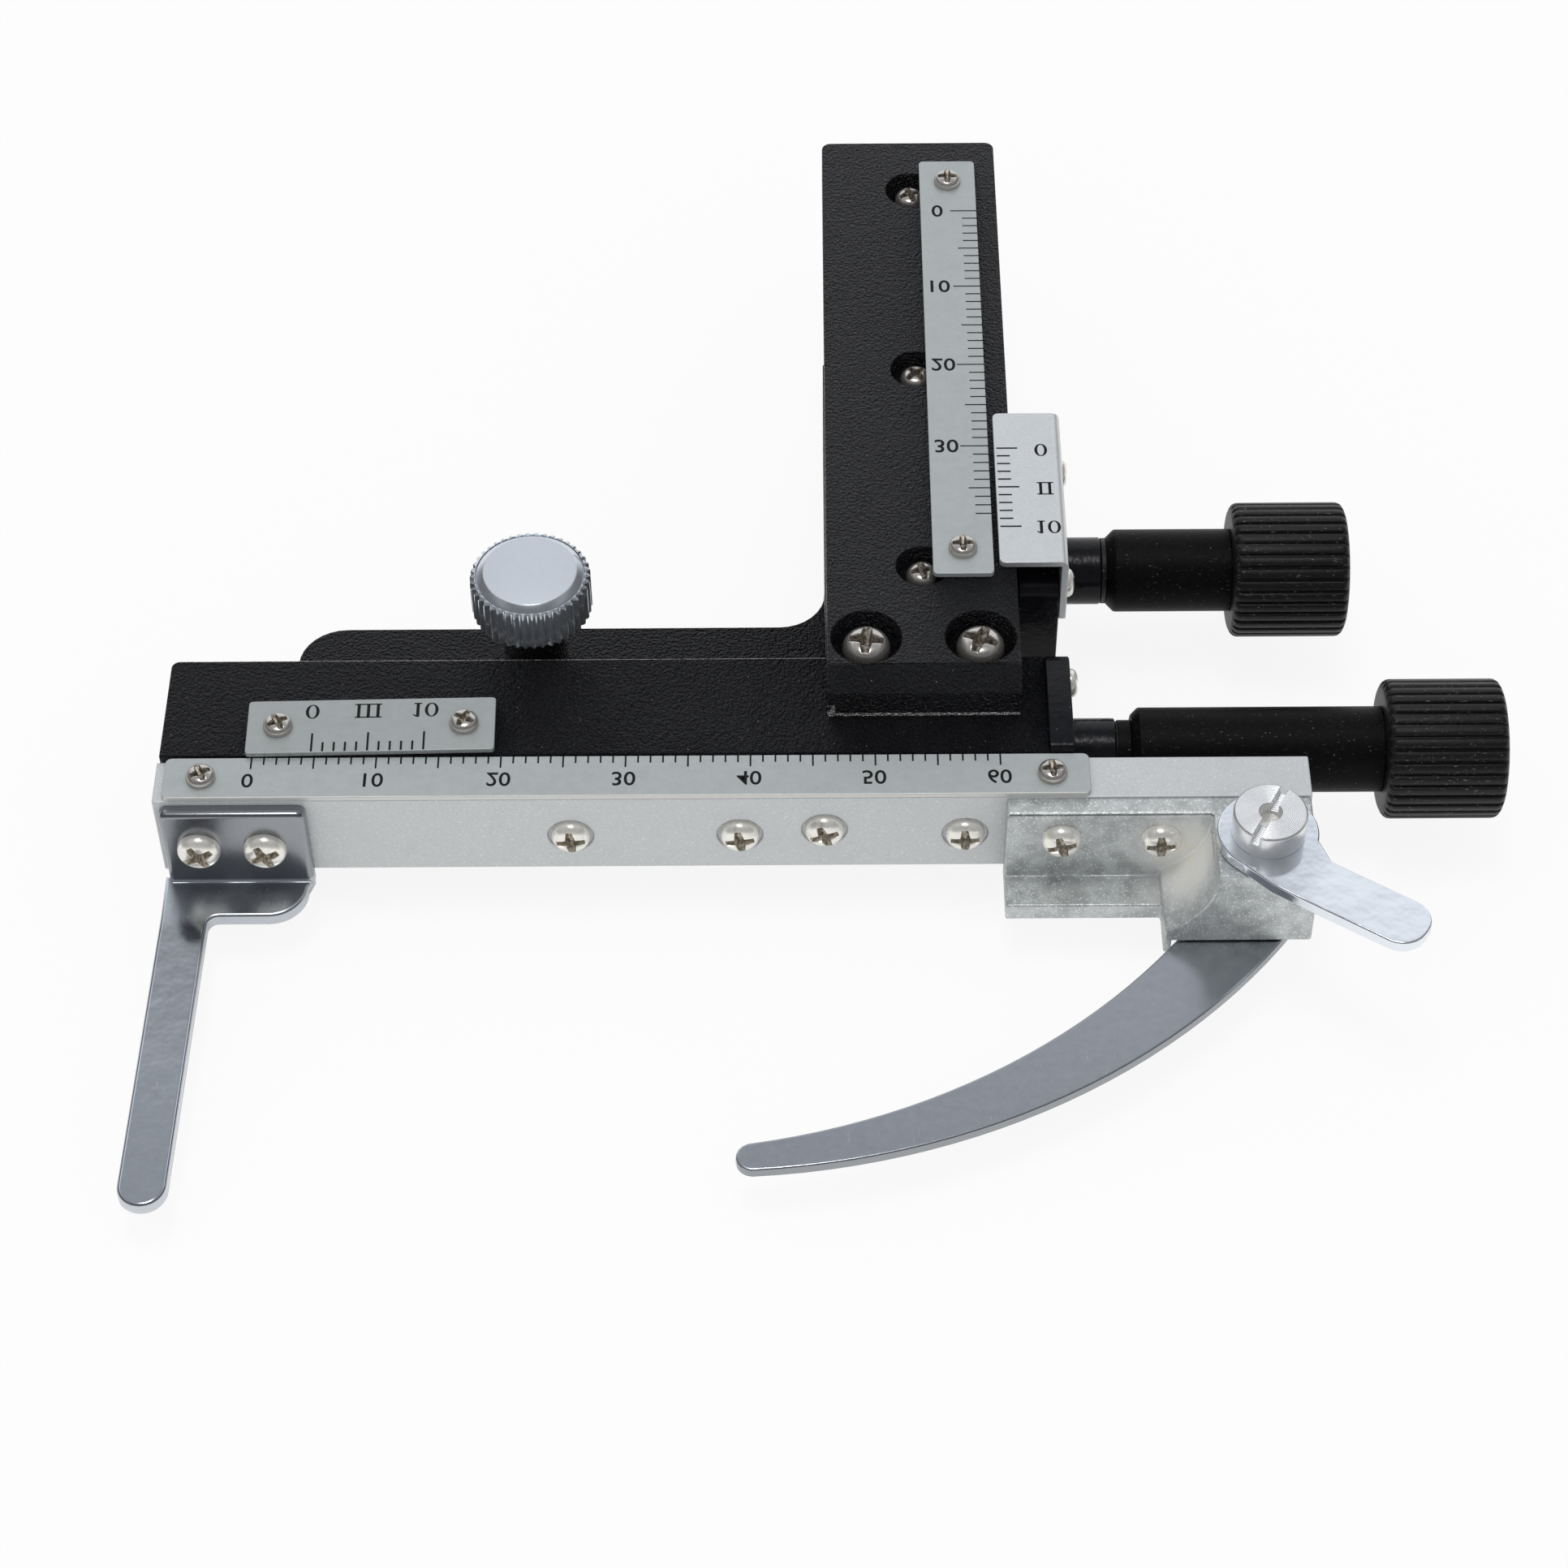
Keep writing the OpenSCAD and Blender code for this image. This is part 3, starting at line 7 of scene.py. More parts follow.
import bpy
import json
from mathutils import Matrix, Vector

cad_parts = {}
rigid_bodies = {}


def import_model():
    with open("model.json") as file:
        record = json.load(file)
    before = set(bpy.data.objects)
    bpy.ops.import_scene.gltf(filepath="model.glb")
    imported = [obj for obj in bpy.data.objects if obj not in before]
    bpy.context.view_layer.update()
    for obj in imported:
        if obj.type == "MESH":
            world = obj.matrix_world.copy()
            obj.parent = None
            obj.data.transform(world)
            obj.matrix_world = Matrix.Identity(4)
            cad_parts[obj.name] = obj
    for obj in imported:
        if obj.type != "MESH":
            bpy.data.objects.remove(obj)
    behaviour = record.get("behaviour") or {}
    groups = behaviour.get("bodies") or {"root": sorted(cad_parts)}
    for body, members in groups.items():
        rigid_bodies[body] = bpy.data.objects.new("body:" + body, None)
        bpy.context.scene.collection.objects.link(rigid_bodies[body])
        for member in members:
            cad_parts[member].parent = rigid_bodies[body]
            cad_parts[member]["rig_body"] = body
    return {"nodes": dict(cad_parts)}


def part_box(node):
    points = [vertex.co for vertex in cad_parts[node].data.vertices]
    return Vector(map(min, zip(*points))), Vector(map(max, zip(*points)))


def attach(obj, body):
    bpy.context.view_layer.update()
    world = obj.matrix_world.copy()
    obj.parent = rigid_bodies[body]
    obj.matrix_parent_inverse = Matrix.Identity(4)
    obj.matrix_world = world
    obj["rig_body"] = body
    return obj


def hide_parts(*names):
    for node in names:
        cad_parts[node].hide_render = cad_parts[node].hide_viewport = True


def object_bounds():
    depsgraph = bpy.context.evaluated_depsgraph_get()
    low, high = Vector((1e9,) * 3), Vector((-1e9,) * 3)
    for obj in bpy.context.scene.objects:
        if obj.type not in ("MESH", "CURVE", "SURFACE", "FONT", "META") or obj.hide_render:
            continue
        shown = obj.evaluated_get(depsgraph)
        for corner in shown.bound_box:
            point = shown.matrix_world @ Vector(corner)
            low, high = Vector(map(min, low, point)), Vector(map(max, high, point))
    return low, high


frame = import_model()
CAD_BOX = [[float(c) for c in corner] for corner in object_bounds()]

import json
import math

import bmesh
import bpy
from bpy.props import FloatProperty, FloatVectorProperty, IntProperty, PointerProperty
from mathutils import Euler, Matrix, Vector

bl_info = {
    "name": "Mechanical Stage Dresser",
    "version": (1, 0, 0),
    "blender": (4, 5, 0),
    "location": "View3D > Sidebar > Mechanical Stage",
    "description": "Dresses the CAD nodes of a mechanical microscope stage with real finishes",
    "category": "Object",
}

MM = 0.001
NODES = frame["nodes"]
FINISHES = {}

# Millimetres within which vertices become one: in new pieces, in dressed copies of the CAD nodes
# (their bevels need it wider), and where the solids of a node are told apart
WELD, CAD_WELD, SOLID_WELD = 0.0005, 0.025, 0.002
FLAT_ANGLE = 0.4  # degrees within which the faces of a CAD node become one
STEM, SERIF = 0.17, 0.075  # strokes of the serif digits, as shares of their height
LEVER_START, LEVER_BEND = 4.2, 2.8  # from the pivot to the lever's bend, and its length
LEVER_SLOPE = 0.045  # rise of the lever beyond its bend, by length
FLOOR_GAP, FLOOR_SIDE = 0.05, 6.0  # floor: millimetres below the part, side in metres
LAMP_AIM = Vector((0.02, -0.01, 0))  # the point that the lamp faces, in metres
FACINGS = {"+Z": (0.0, 0.0, 0.0), "+X": (0.0, math.pi / 2, 0.0), "-Y": (math.pi / 2, 0.0, 0.0)}


def colour_property(name, description, default):
    return FloatVectorProperty(name=name, description=description, subtype="COLOR", size=3,
                               min=0.0, max=1.0, default=default)


def angle_property(name, description, default):
    return FloatProperty(name=name, description=description, subtype="ANGLE", default=default)


def length_property(name, description, default):
    return FloatProperty(name=name, description=description, unit="LENGTH", min=0.0,
                         default=default * MM, precision=5)


class StageColours(bpy.types.PropertyGroup):
    """Base colours of the finishes."""

    coat: colour_property("Powder coat", "Pebbled coat of the castings", (0.0057, 0.006, 0.0082))
    plastic: colour_property("Plastic", "Black of the knobs and sleeves", (0.005, 0.005, 0.0053))
    scale_grey: colour_property("Scale plates", "Satin grey of the scales", (0.455, 0.487, 0.487))
    silver: colour_property("Silver paint", "Sparkling paint of the slide bar", (0.60, 0.62, 0.63))
    chrome: colour_property("Plating", "Plating of finger, arm and lever", (0.60, 0.635, 0.68))
    zinc: colour_property("Cast zinc", "Plated casting of the clamp bracket", (0.525, 0.553, 0.552))
    nickel: colour_property("Screw nickel", "Plating of the screw heads", (0.74, 0.715, 0.67))
    ink: colour_property("Ink", "Ink of the scales", (0.008, 0.008, 0.009))


class StageSizes(bpy.types.PropertyGroup):
    """Sizes of the small forms that the solids leave out."""

    casting_edge: length_property("Casting edge", "Rounding of the coated castings", 0.14)
    plate_edge: length_property("Plate edge", "Rounding of the scale plates", 0.07)
    plated_edge: length_property("Stamping edge", "Rounding of the plated stampings", 0.3)
    bracket_edge: length_property("Bracket edge", "Rounding of the cast bracket", 0.18)
    tick_width: length_property("Tick width", "Width of one scale mark", 0.14)
    ink_height: length_property("Ink height", "Height of the ink over its plate", 0.012)
    digit_height: length_property("Digit height", "Height of the digits on the bar", 1.45)
    rib_count: IntProperty(name="Knob ribs", description="Ribs round each knob", default=34, min=8)
    rib_depth: length_property("Rib depth", "Depth of the valleys between the ribs", 0.3)
    tooth_count: IntProperty(name="Thumb screw teeth", description="Teeth round the thumb screw",
                             default=42, min=8)
    thread_pitch: length_property("Thread pitch", "Pitch of the thumb screw's thread", 0.7)


class StudioSettings(bpy.types.PropertyGroup):
    """Camera and light."""

    lens: FloatProperty(name="Lens", description="Focal length on a 36 mm sensor, in millimetres",
                        default=87.29, min=10.0)
    camera_pitch: angle_property("Pitch", "Angle below the horizon", 0.86099)
    camera_yaw: angle_property("Yaw", "Turn about the vertical", 0.00954)
    camera_roll: angle_property("Roll", "Turn about the line of sight", -0.01307)
    camera_distance: length_property("Distance", "From the camera to its target", 302.63)
    target: FloatVectorProperty(name="Target", description="Point that the camera looks at",
                                subtype="TRANSLATION", unit="LENGTH", size=3,
                                default=(20.786 * MM, -18.913 * MM, 10.4 * MM))
    ambient: FloatProperty(name="Ambient", description="Light from all round", default=0.74,
                           min=0.0)
    lamp_power: FloatProperty(name="Lamp", description="Power of the lamp overhead", unit="POWER",
                              default=1.2, min=0.0)


class Wire:
    """One socket of a node tree that takes part in Python sums."""

    def __init__(self, sheet, socket):
        self.sheet = sheet
        self.socket = socket

    def of(self, output):
        """Another output of the same node."""
        return Wire(self.sheet, self.socket.node.outputs[output])

    def math(self, operation, *terms):
        return self.sheet.node("ShaderNodeMath", *terms, operation=operation)

    def rise(self, low, high):
        """Smooth step from 0 at low to 1 at high."""
        return self.sheet.node("ShaderNodeMapRange", interpolation_type="SMOOTHSTEP", Value=self,
                               From_Min=low, From_Max=high)


def math_method(operation, swapped):
    """An operator of Wire that becomes one math node."""
    def method(wire, *other):
        return wire.math(operation, *other, wire) if swapped else wire.math(operation, wire, *other)
    return method


for symbol, operation in (("add", "ADD"), ("sub", "SUBTRACT"), ("mul", "MULTIPLY"),
                          ("truediv", "DIVIDE"), ("pow", "POWER"), ("gt", "GREATER_THAN"),
                          ("lt", "LESS_THAN"), ("mod", "MODULO"), ("abs", "ABSOLUTE")):
    setattr(Wire, f"__{symbol}__", math_method(operation, False))
    if symbol in ("add", "sub", "mul"):
        setattr(Wire, f"__r{symbol}__", math_method(operation, True))


class Sheet:
    """Writes nodes into one tree."""

    def __init__(self, tree):
        self.tree = tree

    def node(self, kind, *terms, sockets=None, stops=(), out=0, **named):
        """Make a node and give one of its outputs.

        Lower-case names are settings. Capitalised names are sockets, with _ for a space. Terms
        are the first sockets in their order, and sockets holds others by their number.
        """
        made = self.tree.nodes.new(kind)
        values = {**dict(enumerate(terms)), **(sockets or {})}
        for name, value in named.items():
            if name.islower():
                setattr(made, name, value)
            else:
                values[name.replace("_", " ")] = value
        if stops:
            ramp = made.color_ramp.elements
            while len(ramp) < len(stops):
                ramp.new(0.5)
            for element, (place, colour) in zip(ramp, stops):
                element.position, element.color = place, (*colour, 1.0)
        for key, value in values.items():
            socket = made.inputs[key]
            if isinstance(value, Wire):
                self.tree.links.new(value.socket, socket)
            else:
                whole = socket.type != "RGBA" or len(value) == 4
                socket.default_value = value if whole else (*value, 1.0)
        return Wire(self, made.outputs[out]) if made.outputs else made

    def place(self, stretch=(1.0, 1.0, 1.0)):
        """Object coordinates in millimetres, each stretched by its own factor."""
        at = self.node("ShaderNodeTexCoord", out="Object")
        return self.node("ShaderNodeMapping", Vector=at, Scale=tuple(s / MM for s in stretch))

    def noise(self, at, scale, detail=2.0, roughness=0.55, distortion=0.0):
        return self.node("ShaderNodeTexNoise", Vector=at, Scale=scale, Detail=detail,
                         Roughness=roughness, Distortion=distortion)

    def specks(self, at, scale, size, share):
        """Round specks in a share of the cells of a grid."""
        inside, chosen = self.cells(at, scale)
        return (inside < size) * (chosen < share)

    def mix(self, factor, low, high):
        return self.node("ShaderNodeMix", data_type="RGBA", out=2,
                         sockets={0: factor, 6: low, 7: high})

    def shades(self, factor, colour, low, high):
        """Between two shades of one colour."""
        return self.mix(factor, shade(colour, low), shade(colour, high))

    def bump(self, height, depth, strength=1.0):
        return self.node("ShaderNodeBump", Height=height, Distance=depth * MM, Strength=strength)

    def split(self, at):
        """The node that gives X, Y and Z of a place."""
        return self.node("ShaderNodeSeparateXYZ", Vector=at)

    def cells(self, at, scale):
        """Distance inside the cells of an uneven grid, and one random value for each cell."""
        grid = self.node("ShaderNodeTexVoronoi", Vector=at, Scale=scale)
        return grid, self.node("ShaderNodeSeparateColor", Color=grid.of("Color"))


def grey(value):
    return (value,) * 3


def shade(colour, factor):
    """A colour made lighter or darker by one factor."""
    return tuple(min(1.0, v * factor) for v in colour)


def new_finish(name):
    """An empty finish: its sheet, and object coordinates in millimetres."""
    material = bpy.data.materials.new(name)
    material.use_nodes = True
    material.node_tree.nodes.clear()
    FINISHES[name] = material
    sheet = Sheet(material.node_tree)
    return sheet, sheet.place()


def surface(sheet, **values):
    """Close a finish with the standard surface shader."""
    keys = {"base": "Base_Color", "specular": "Specular_IOR_Level"}
    shader = sheet.node("ShaderNodeBsdfPrincipled",
                        **{keys.get(k, k.capitalize()): v for k, v in values.items()})
    sheet.node("ShaderNodeOutputMaterial", Surface=shader)


def powder_coat(name, colour, gloss, worn=None):
    """Black pebbled coat with dust specks, and bare metal where a box of edges is worn."""
    sheet, at = new_finish(name)
    pebble = sheet.noise(at, 3.9, 2.0, 0.6)
    blotch = sheet.noise(at, 0.22, 2.0)
    dust = sheet.specks(at, 2.3, 0.11, 0.10) + sheet.specks(at, 0.9, 0.035, 0.3)
    tone = sheet.shades(blotch.rise(0.35, 0.7), colour, 0.8, 1.35)
    tone = sheet.mix(pebble.rise(0.62, 0.78) * 0.45, tone, (0.05, 0.05, 0.058))
    tone = sheet.mix(dust * 0.6, tone, grey(0.42))
    rough = 0.19 + pebble * 0.1 + blotch * 0.06
    metal = 0.0
    if worn:
        parts = sheet.split(at)
        chips = sheet.noise(at, 2.4, 3.0, 0.7)
        bare = None
        for low, high, least in worn:
            inside = chips > least
            for axis, lo, hi in zip("XYZ", low, high):
                inside = inside * (parts.of(axis) > lo) * (parts.of(axis) < hi)
            bare = inside if bare is None else bare.math("MAXIMUM", bare, inside)
        tone = sheet.mix(bare, tone, (0.62, 0.61, 0.6))
        metal = bare * 0.8
    surface(sheet, base=tone, roughness=rough, metallic=metal, specular=gloss,
            normal=sheet.bump(pebble, 1.1, 1.0))


def gloss_black(name, colour):
    """Glossy black paint with a faint orange peel and dust."""
    sheet, at = new_finish(name)
    peel = sheet.noise(at, 1.6, 2.0)
    dust = sheet.specks(at, 2.6, 0.1, 0.12)
    tone = sheet.shades(peel, colour, 0.7, 1.3)
    surface(sheet, base=sheet.mix(dust * 0.5, tone, grey(0.4)),
            roughness=0.16 + peel * 0.12, specular=0.2, normal=sheet.bump(peel, 0.05, 0.7))


def black_plastic(name, colour, flecks, rough, gloss):
    """Fine matt black with turning lines and pale flecks."""
    sheet, at = new_finish(name)
    turned = sheet.noise(sheet.place((6.0, 0.3, 0.3)), 1.0, 2.0)
    grain = sheet.noise(at, 9.0, 3.0, 0.65)
    scuff = sheet.noise(sheet.place((0.9, 3.2, 3.2)), 2.2, 3.0, 0.7)
    pale = scuff.rise(0.62, 0.72) * flecks
    dust = sheet.specks(at, 3.1, 0.12, 0.14)
    tone = sheet.shades(turned, colour, 0.75, 1.3)
    tone = sheet.mix(pale, tone, (0.16, 0.16, 0.165))
    tone = sheet.mix(dust * 0.45, tone, grey(0.45))
    surface(sheet, base=tone, roughness=rough + grain * 0.14 + turned * 0.05, specular=gloss,
            normal=sheet.bump(grain + turned * 0.4, 0.03, 0.9))


def scale_metal(name, colour, rough, brushed, metal, bare=None):
    """Satin plate with a fine brushed grain and soft stains, and a bare edge before y = bare."""
    sheet, at = new_finish(name)
    lines = sheet.noise(sheet.place(brushed), 1.0, 3.0, 0.6)
    stain = sheet.noise(at, 0.5, 3.0)
    spots = sheet.specks(at, 1.7, 0.09, 0.1)
    fine = sheet.noise(at, 7.0, 2.0, 0.7)
    tone = sheet.shades(lines * 0.5 + fine * 0.5, colour, 0.82, 1.18)
    tone = sheet.mix(stain.rise(0.45, 0.75) * 0.2, tone, shade(colour, 0.78))
    tone = sheet.mix(spots * 0.5, tone, (0.12, 0.11, 0.1))
    if bare is not None:
        depth = sheet.split(at).of("Y")
        tone = sheet.mix((depth < bare) * 0.4, tone, (0.92, 0.89, 0.83))
    surface(sheet, base=tone, roughness=rough + lines * 0.12, metallic=metal,
            normal=sheet.bump(lines + fine, 0.016, 0.6))


def silver_paint(name, colour):
    """Metallic paint: every flake has its own brightness."""
    sheet, at = new_finish(name)
    spark = sheet.cells(at, 11.0)[1]
    cloud = sheet.noise(at, 0.35, 3.0)
    dirt = sheet.specks(at, 1.1, 0.05, 0.18)
    tone = sheet.shades(spark, colour, 0.93, 1.07)
    tone = sheet.mix((spark > 0.975) * 0.45, tone, grey(0.95))
    tone = sheet.mix(cloud.rise(0.5, 0.75) * 0.15, tone, shade(colour, 0.75))
    tone = sheet.mix(dirt * 0.7, tone, (0.2, 0.17, 0.13))
    surface(sheet, base=tone, roughness=0.42 + spark * 0.16, metallic=0.35,
            normal=sheet.bump(sheet.noise(at, 4.2, 2.0), 0.05, 0.7))


def plating(name, colour, rough, wave=0.02, scratches=0.4, painted_shade_at=None, flat=None, side=None,
            metal=1.0):
    """Bright plating over a stamping: slight waves, a satin bloom and hair scratches.

    Painted shade: the plating is darker behind and above a given (y, z), fading in over the
    16 mm before that y, and darker below z = side. It is satin above z = flat.
    """
    sheet, at = new_finish(name)
    waves = sheet.noise(at, 0.55, 2.0)
    bloom = sheet.noise(at, 1.3, 4.0, 0.65)
    hairs = sheet.noise(sheet.place((5.5, 0.35, 1.0)), 1.0, 3.0, 0.6, 0.6)
    pits = sheet.specks(at, 1.9, 0.07, 0.14)
    tone = sheet.shades(bloom, colour, 0.95, 1.05)
    tone = sheet.mix(hairs.rise(0.70, 0.78) * scratches, tone, (0.85, 0.86, 0.88))
    tone = sheet.mix(pits * 0.5, tone, shade(colour, 0.35))
    parts = sheet.split(at)
    satin = bloom * 0.06
    # painted shade: the plating darkens behind the given y, most of all above the given z, and a
    # darkening fades in over the 16 mm before that y
    if painted_shade_at is not None:
        depth = parts.of("Y").rise(painted_shade_at[0] - 0.7, painted_shade_at[0] + 0.7)
        painted_fade = parts.of("Y").rise(painted_shade_at[0] - 16.0, painted_shade_at[0]) * (1.0 - depth)
        upright = parts.of("Z") > painted_shade_at[1]
        tone = sheet.mix(depth * (upright * 0.5 + 0.08) + painted_fade * 0.34, tone, (0.12, 0.12, 0.125))
        satin = satin + depth * 0.12
    if flat is not None:
        satin = satin + (parts.of("Z") > flat) * 0.42
    # painted shade: the plating darkens below z = side
    if side is not None:
        tone = sheet.mix((parts.of("Z") < side) * 0.5, tone, (0.2, 0.21, 0.21))
    surface(sheet, base=tone, roughness=rough + satin + hairs.rise(0.66, 0.8) * 0.15,
            metallic=metal, normal=sheet.bump(waves + hairs * 0.04, wave, 0.8))


def cast_zinc(name, colour, stain_at):
    """Sparkling zinc casting with drawn scratches and a yellowish stain on one side."""
    sheet, at = new_finish(name)
    cells, spark = sheet.cells(at, 9.0)
    cloud = sheet.noise(at, 0.7, 4.0, 0.6)
    drawn = sheet.noise(sheet.place((7.0, 1.0, 0.5)), 1.0, 3.0, 0.65)
    tone = sheet.shades(cloud.rise(0.3, 0.7), colour, 0.78, 1.16)
    tone = sheet.mix((spark > 0.9) * 0.6, tone, (0.95, 0.97, 0.97))
    tone = sheet.mix(drawn.rise(0.6, 0.75) * 0.35, tone, shade(colour, 1.45))
    near = sheet.node("ShaderNodeVectorMath", at, stain_at, operation="DISTANCE", out="Value")
    close = 1.0 - near.rise(1.5, 5.5)
    tone = sheet.mix(close * 0.85, tone, (0.9, 0.905, 0.89))
    tone = sheet.mix((1.0 - near.rise(0.8, 3.6)) * cloud.rise(0.35, 0.6) * 0.32, tone,
                     (0.85, 0.79, 0.58))
    surface(sheet, base=tone, roughness=0.26 + cloud * 0.1 + spark * 0.12,
            metallic=0.62 - close * 0.25,
            normal=sheet.bump(cloud + cells * 0.5 + drawn * 0.35, 0.045, 0.8))


def turned_metal(name, colour, centre, pitch, rough):
    """Turned metal: fine rings about an upright axis."""
    sheet, at = new_finish(name)
    parts = sheet.split(at)
    x, y = parts.of("X") - centre[0], parts.of("Y") - centre[1]
    distance = (x * x + y * y) ** 0.5
    angle = distance * (math.tau / pitch)
    rings = angle.math("SINE", angle)
    mottled = sheet.noise(at, 2.6, 3.0)
    tone = sheet.shades(mottled * 0.6 + rings * 0.2 + 0.2, colour, 0.84, 1.1)
    surface(sheet, base=tone, roughness=rough + mottled * 0.1 + rings * 0.03, metallic=0.85,
            normal=sheet.bump(rings * 0.5 + mottled * 0.4, 0.02, 0.8))


def plain_metal(name, colour, rough):
    """Machined metal for the inner parts."""
    sheet, at = new_finish(name)
    lines = sheet.noise(sheet.place((0.5, 4.0, 4.0)), 1.0, 3.0)
    mottled = sheet.noise(at, 1.2, 3.0)
    tone = sheet.shades(mottled, colour, 0.82, 1.1)
    surface(sheet, base=tone, roughness=rough + lines * 0.15, metallic=1.0,
            normal=sheet.bump(lines, 0.01, 0.6))


def screw_nickel(name, colour, metal):
    sheet, at = new_finish(name)
    mottled = sheet.noise(at, 3.5, 3.0, 0.6)
    stain = sheet.noise(at, 1.2, 2.0)
    tone = sheet.shades(mottled, colour, 0.86, 1.08)
    tone = sheet.mix(stain.rise(0.55, 0.8) * 0.4, tone, (0.36, 0.31, 0.25))
    surface(sheet, base=tone, roughness=0.15 + mottled * 0.12, metallic=metal,
            normal=sheet.bump(mottled, 0.012, 0.6))


def recess_grime(name, dark, pale):
    """Brownish grime in the recess of a screw."""
    sheet, at = new_finish(name)
    mottled = sheet.noise(at, 4.0, 3.0)
    tone = sheet.mix(mottled.rise(0.35, 0.65), dark, pale)
    surface(sheet, base=tone, roughness=0.32 + mottled * 0.2, metallic=0.85,
            normal=sheet.bump(mottled, 0.02, 0.6))


def scale_ink(name, colour):
    sheet, at = new_finish(name)
    worn = sheet.noise(at, 6.0, 3.0)
    surface(sheet, base=sheet.mix(worn.rise(0.5, 0.8), colour, shade(colour, 2.0)),
            roughness=0.5 + worn * 0.2, specular=0.15, normal=sheet.bump(worn, 0.004, 0.4))


def to_mm(node):
    """Lowest and highest corner of a CAD node in millimetres."""
    low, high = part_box(node)
    return low / MM, high / MM


def make_finishes(colours):
    """Every finish of the part. Where a worn zone or a painted shade has a place, it follows the
    CAD.
    """
    column_low, column_high = to_mm("y_cover")
    nut_low, nut_high = to_mm("pivot_nut")
    bracket_low, bracket_high = to_mm("clamp_bracket")
    body_low, body_high = to_mm("x_body")
    corner = column_low - Vector((0.1, 0.1, 0.1))
    # low corner, high corner, and how much of the coat stays there
    edge = (corner, (column_high.x + 0.1, column_low.y + 0.3, column_low.z + 0.4), 0.22)
    left = (corner, column_low + Vector((0.6, 0.5, 1.3)), 0.45)
    rear = ((body_low.x, body_high.y - 0.13, body_high.z - 0.12),
            (column_low.x, body_high.y + 0.1, body_high.z + 0.1), 0.4)
    powder_coat("black_coat", colours.coat, 0.46, (edge, left))
    powder_coat("base_coat", colours.coat, 0.36)
    powder_coat("body_coat", colours.coat, 0.25, (rear,))
    gloss_black("black_gloss", colours.coat)
    black_plastic("black_sleeve", shade(colours.plastic, 0.7), 0.3, 0.3, 0.07)
    black_plastic("black_knob", colours.plastic, 1.0, 0.3, 0.3)
    bare = to_mm("x_scale_plate")[0].y + 0.1
    for name, tone, end in (("scale_grey", 1.0, None), ("scale_long", 1.0, bare),
                            ("scale_short", 0.86, None)):
        scale_metal(name, shade(colours.scale_grey, tone), 0.36, (1.1, 1.6, 1.0), 0.55, end)
    scale_metal("bright_aluminium", (0.68, 0.705, 0.715), 0.3, (3.5, 5.0, 3.5), 0.8)
    silver_paint("silver_paint", colours.silver)
    arm_top = to_mm("clamp_arm")[1].z
    # painted shade: the arm's plating is a darker copy of the chrome, darker again on its sides
    # below the top edge
    plating("arm_chrome_shaded", shade(colours.chrome, 0.8), 0.19, 0.012, 0.25, side=arm_top - 0.12)
    # painted light: the lever's plating is a lighter copy of the chrome
    plating("lever_chrome_lit", shade(colours.chrome, 1.42), 0.1)
    # painted shade: the plating darkens from the shelf's front edge back, and over the shelf
    finger_shade_place = (to_mm("fixed_finger")[1].y - 5.4, to_mm("fixed_finger")[0].z + 1.5)
    plating("finger_chrome", colours.chrome, 0.1, painted_shade_at=finger_shade_place)
    plating("thumb_chrome", shade(colours.chrome, 1.15), 0.13, 0.008, 0.1,
            flat=to_mm("thumb_screw")[1].z - 0.03, metal=0.9)
    cast_zinc("zinc_plate", colours.zinc,
              (bracket_high.x - 10.2, bracket_low.y + 5.2, bracket_high.z - 4.0))
    turned_metal("turned_aluminium", (0.88, 0.89, 0.9),
                 ((nut_low.x + nut_high.x) / 2, (nut_low.y + nut_high.y) / 2), 0.16, 0.24)
    plain_metal("steel", (0.46, 0.465, 0.47), 0.28)
    plain_metal("brass", (0.62, 0.44, 0.17), 0.28)
    # painted light and shade: the screw plating as a lighter, less metallic copy (front screws,
    # thread, pivot shaft) and as a darker copy (upward screws)
    screw_nickel("nickel", shade(colours.nickel, 1.28), 0.62)
    screw_nickel("plate_nickel", shade(colours.nickel, 0.82), 0.86)
    recess_grime("recess_grime", (0.26, 0.22, 0.16), (0.66, 0.62, 0.53))
    recess_grime("plate_grime", (0.09, 0.075, 0.065), (0.42, 0.38, 0.32))
    scale_ink("scale_ink", colours.ink)


def new_piece(name, mesh, finish=None):
    piece = bpy.data.objects.new(name, mesh)
    bpy.context.scene.collection.objects.link(piece)
    if finish:
        mesh.materials.clear()
        mesh.materials.append(FINISHES[finish])
    return piece


def build(name, bm, sharp, finish=None, turn_out=True):
    """A smooth piece with its sharp edges kept, from a bmesh in millimetres."""
    bmesh.ops.remove_doubles(bm, verts=bm.verts, dist=WELD)
    if turn_out:
        bmesh.ops.recalc_face_normals(bm, faces=bm.faces)
    bmesh.ops.scale(bm, vec=(MM, MM, MM), verts=bm.verts)
    mesh = bpy.data.meshes.new(name)
    bm.to_mesh(mesh)
    bm.free()
    mesh.shade_smooth()
    mesh.set_sharp_from_angle(angle=math.radians(sharp))
    return new_piece(name, mesh, finish)


def bake_modifiers(piece):
    """Turn a piece's modifiers into a plain mesh."""
    graph = bpy.context.evaluated_depsgraph_get()
    made = bpy.data.meshes.new_from_object(piece.evaluated_get(graph),
                                           preserve_all_data_layers=True, depsgraph=graph)
    piece.modifiers.clear()
    piece.data = made
    if not made.polygons:
        raise RuntimeError(f"{piece.name} came out empty")
    return piece


def add_bevel(piece, width, segments, angle, **settings):
    bevel = piece.modifiers.new("edges", "BEVEL")
    bevel.width = width
    bevel.segments = segments
    bevel.limit_method = "ANGLE"
    bevel.angle_limit = math.radians(angle)
    for name, setting in settings.items():
        setattr(bevel, name, setting)


def settle(piece, nodes, body=None):
    """Let a piece ride on the body of the nodes that it stands for."""
    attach(piece, body or NODES[nodes[0]]["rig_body"])
    if nodes and not body:
        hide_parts(*nodes)


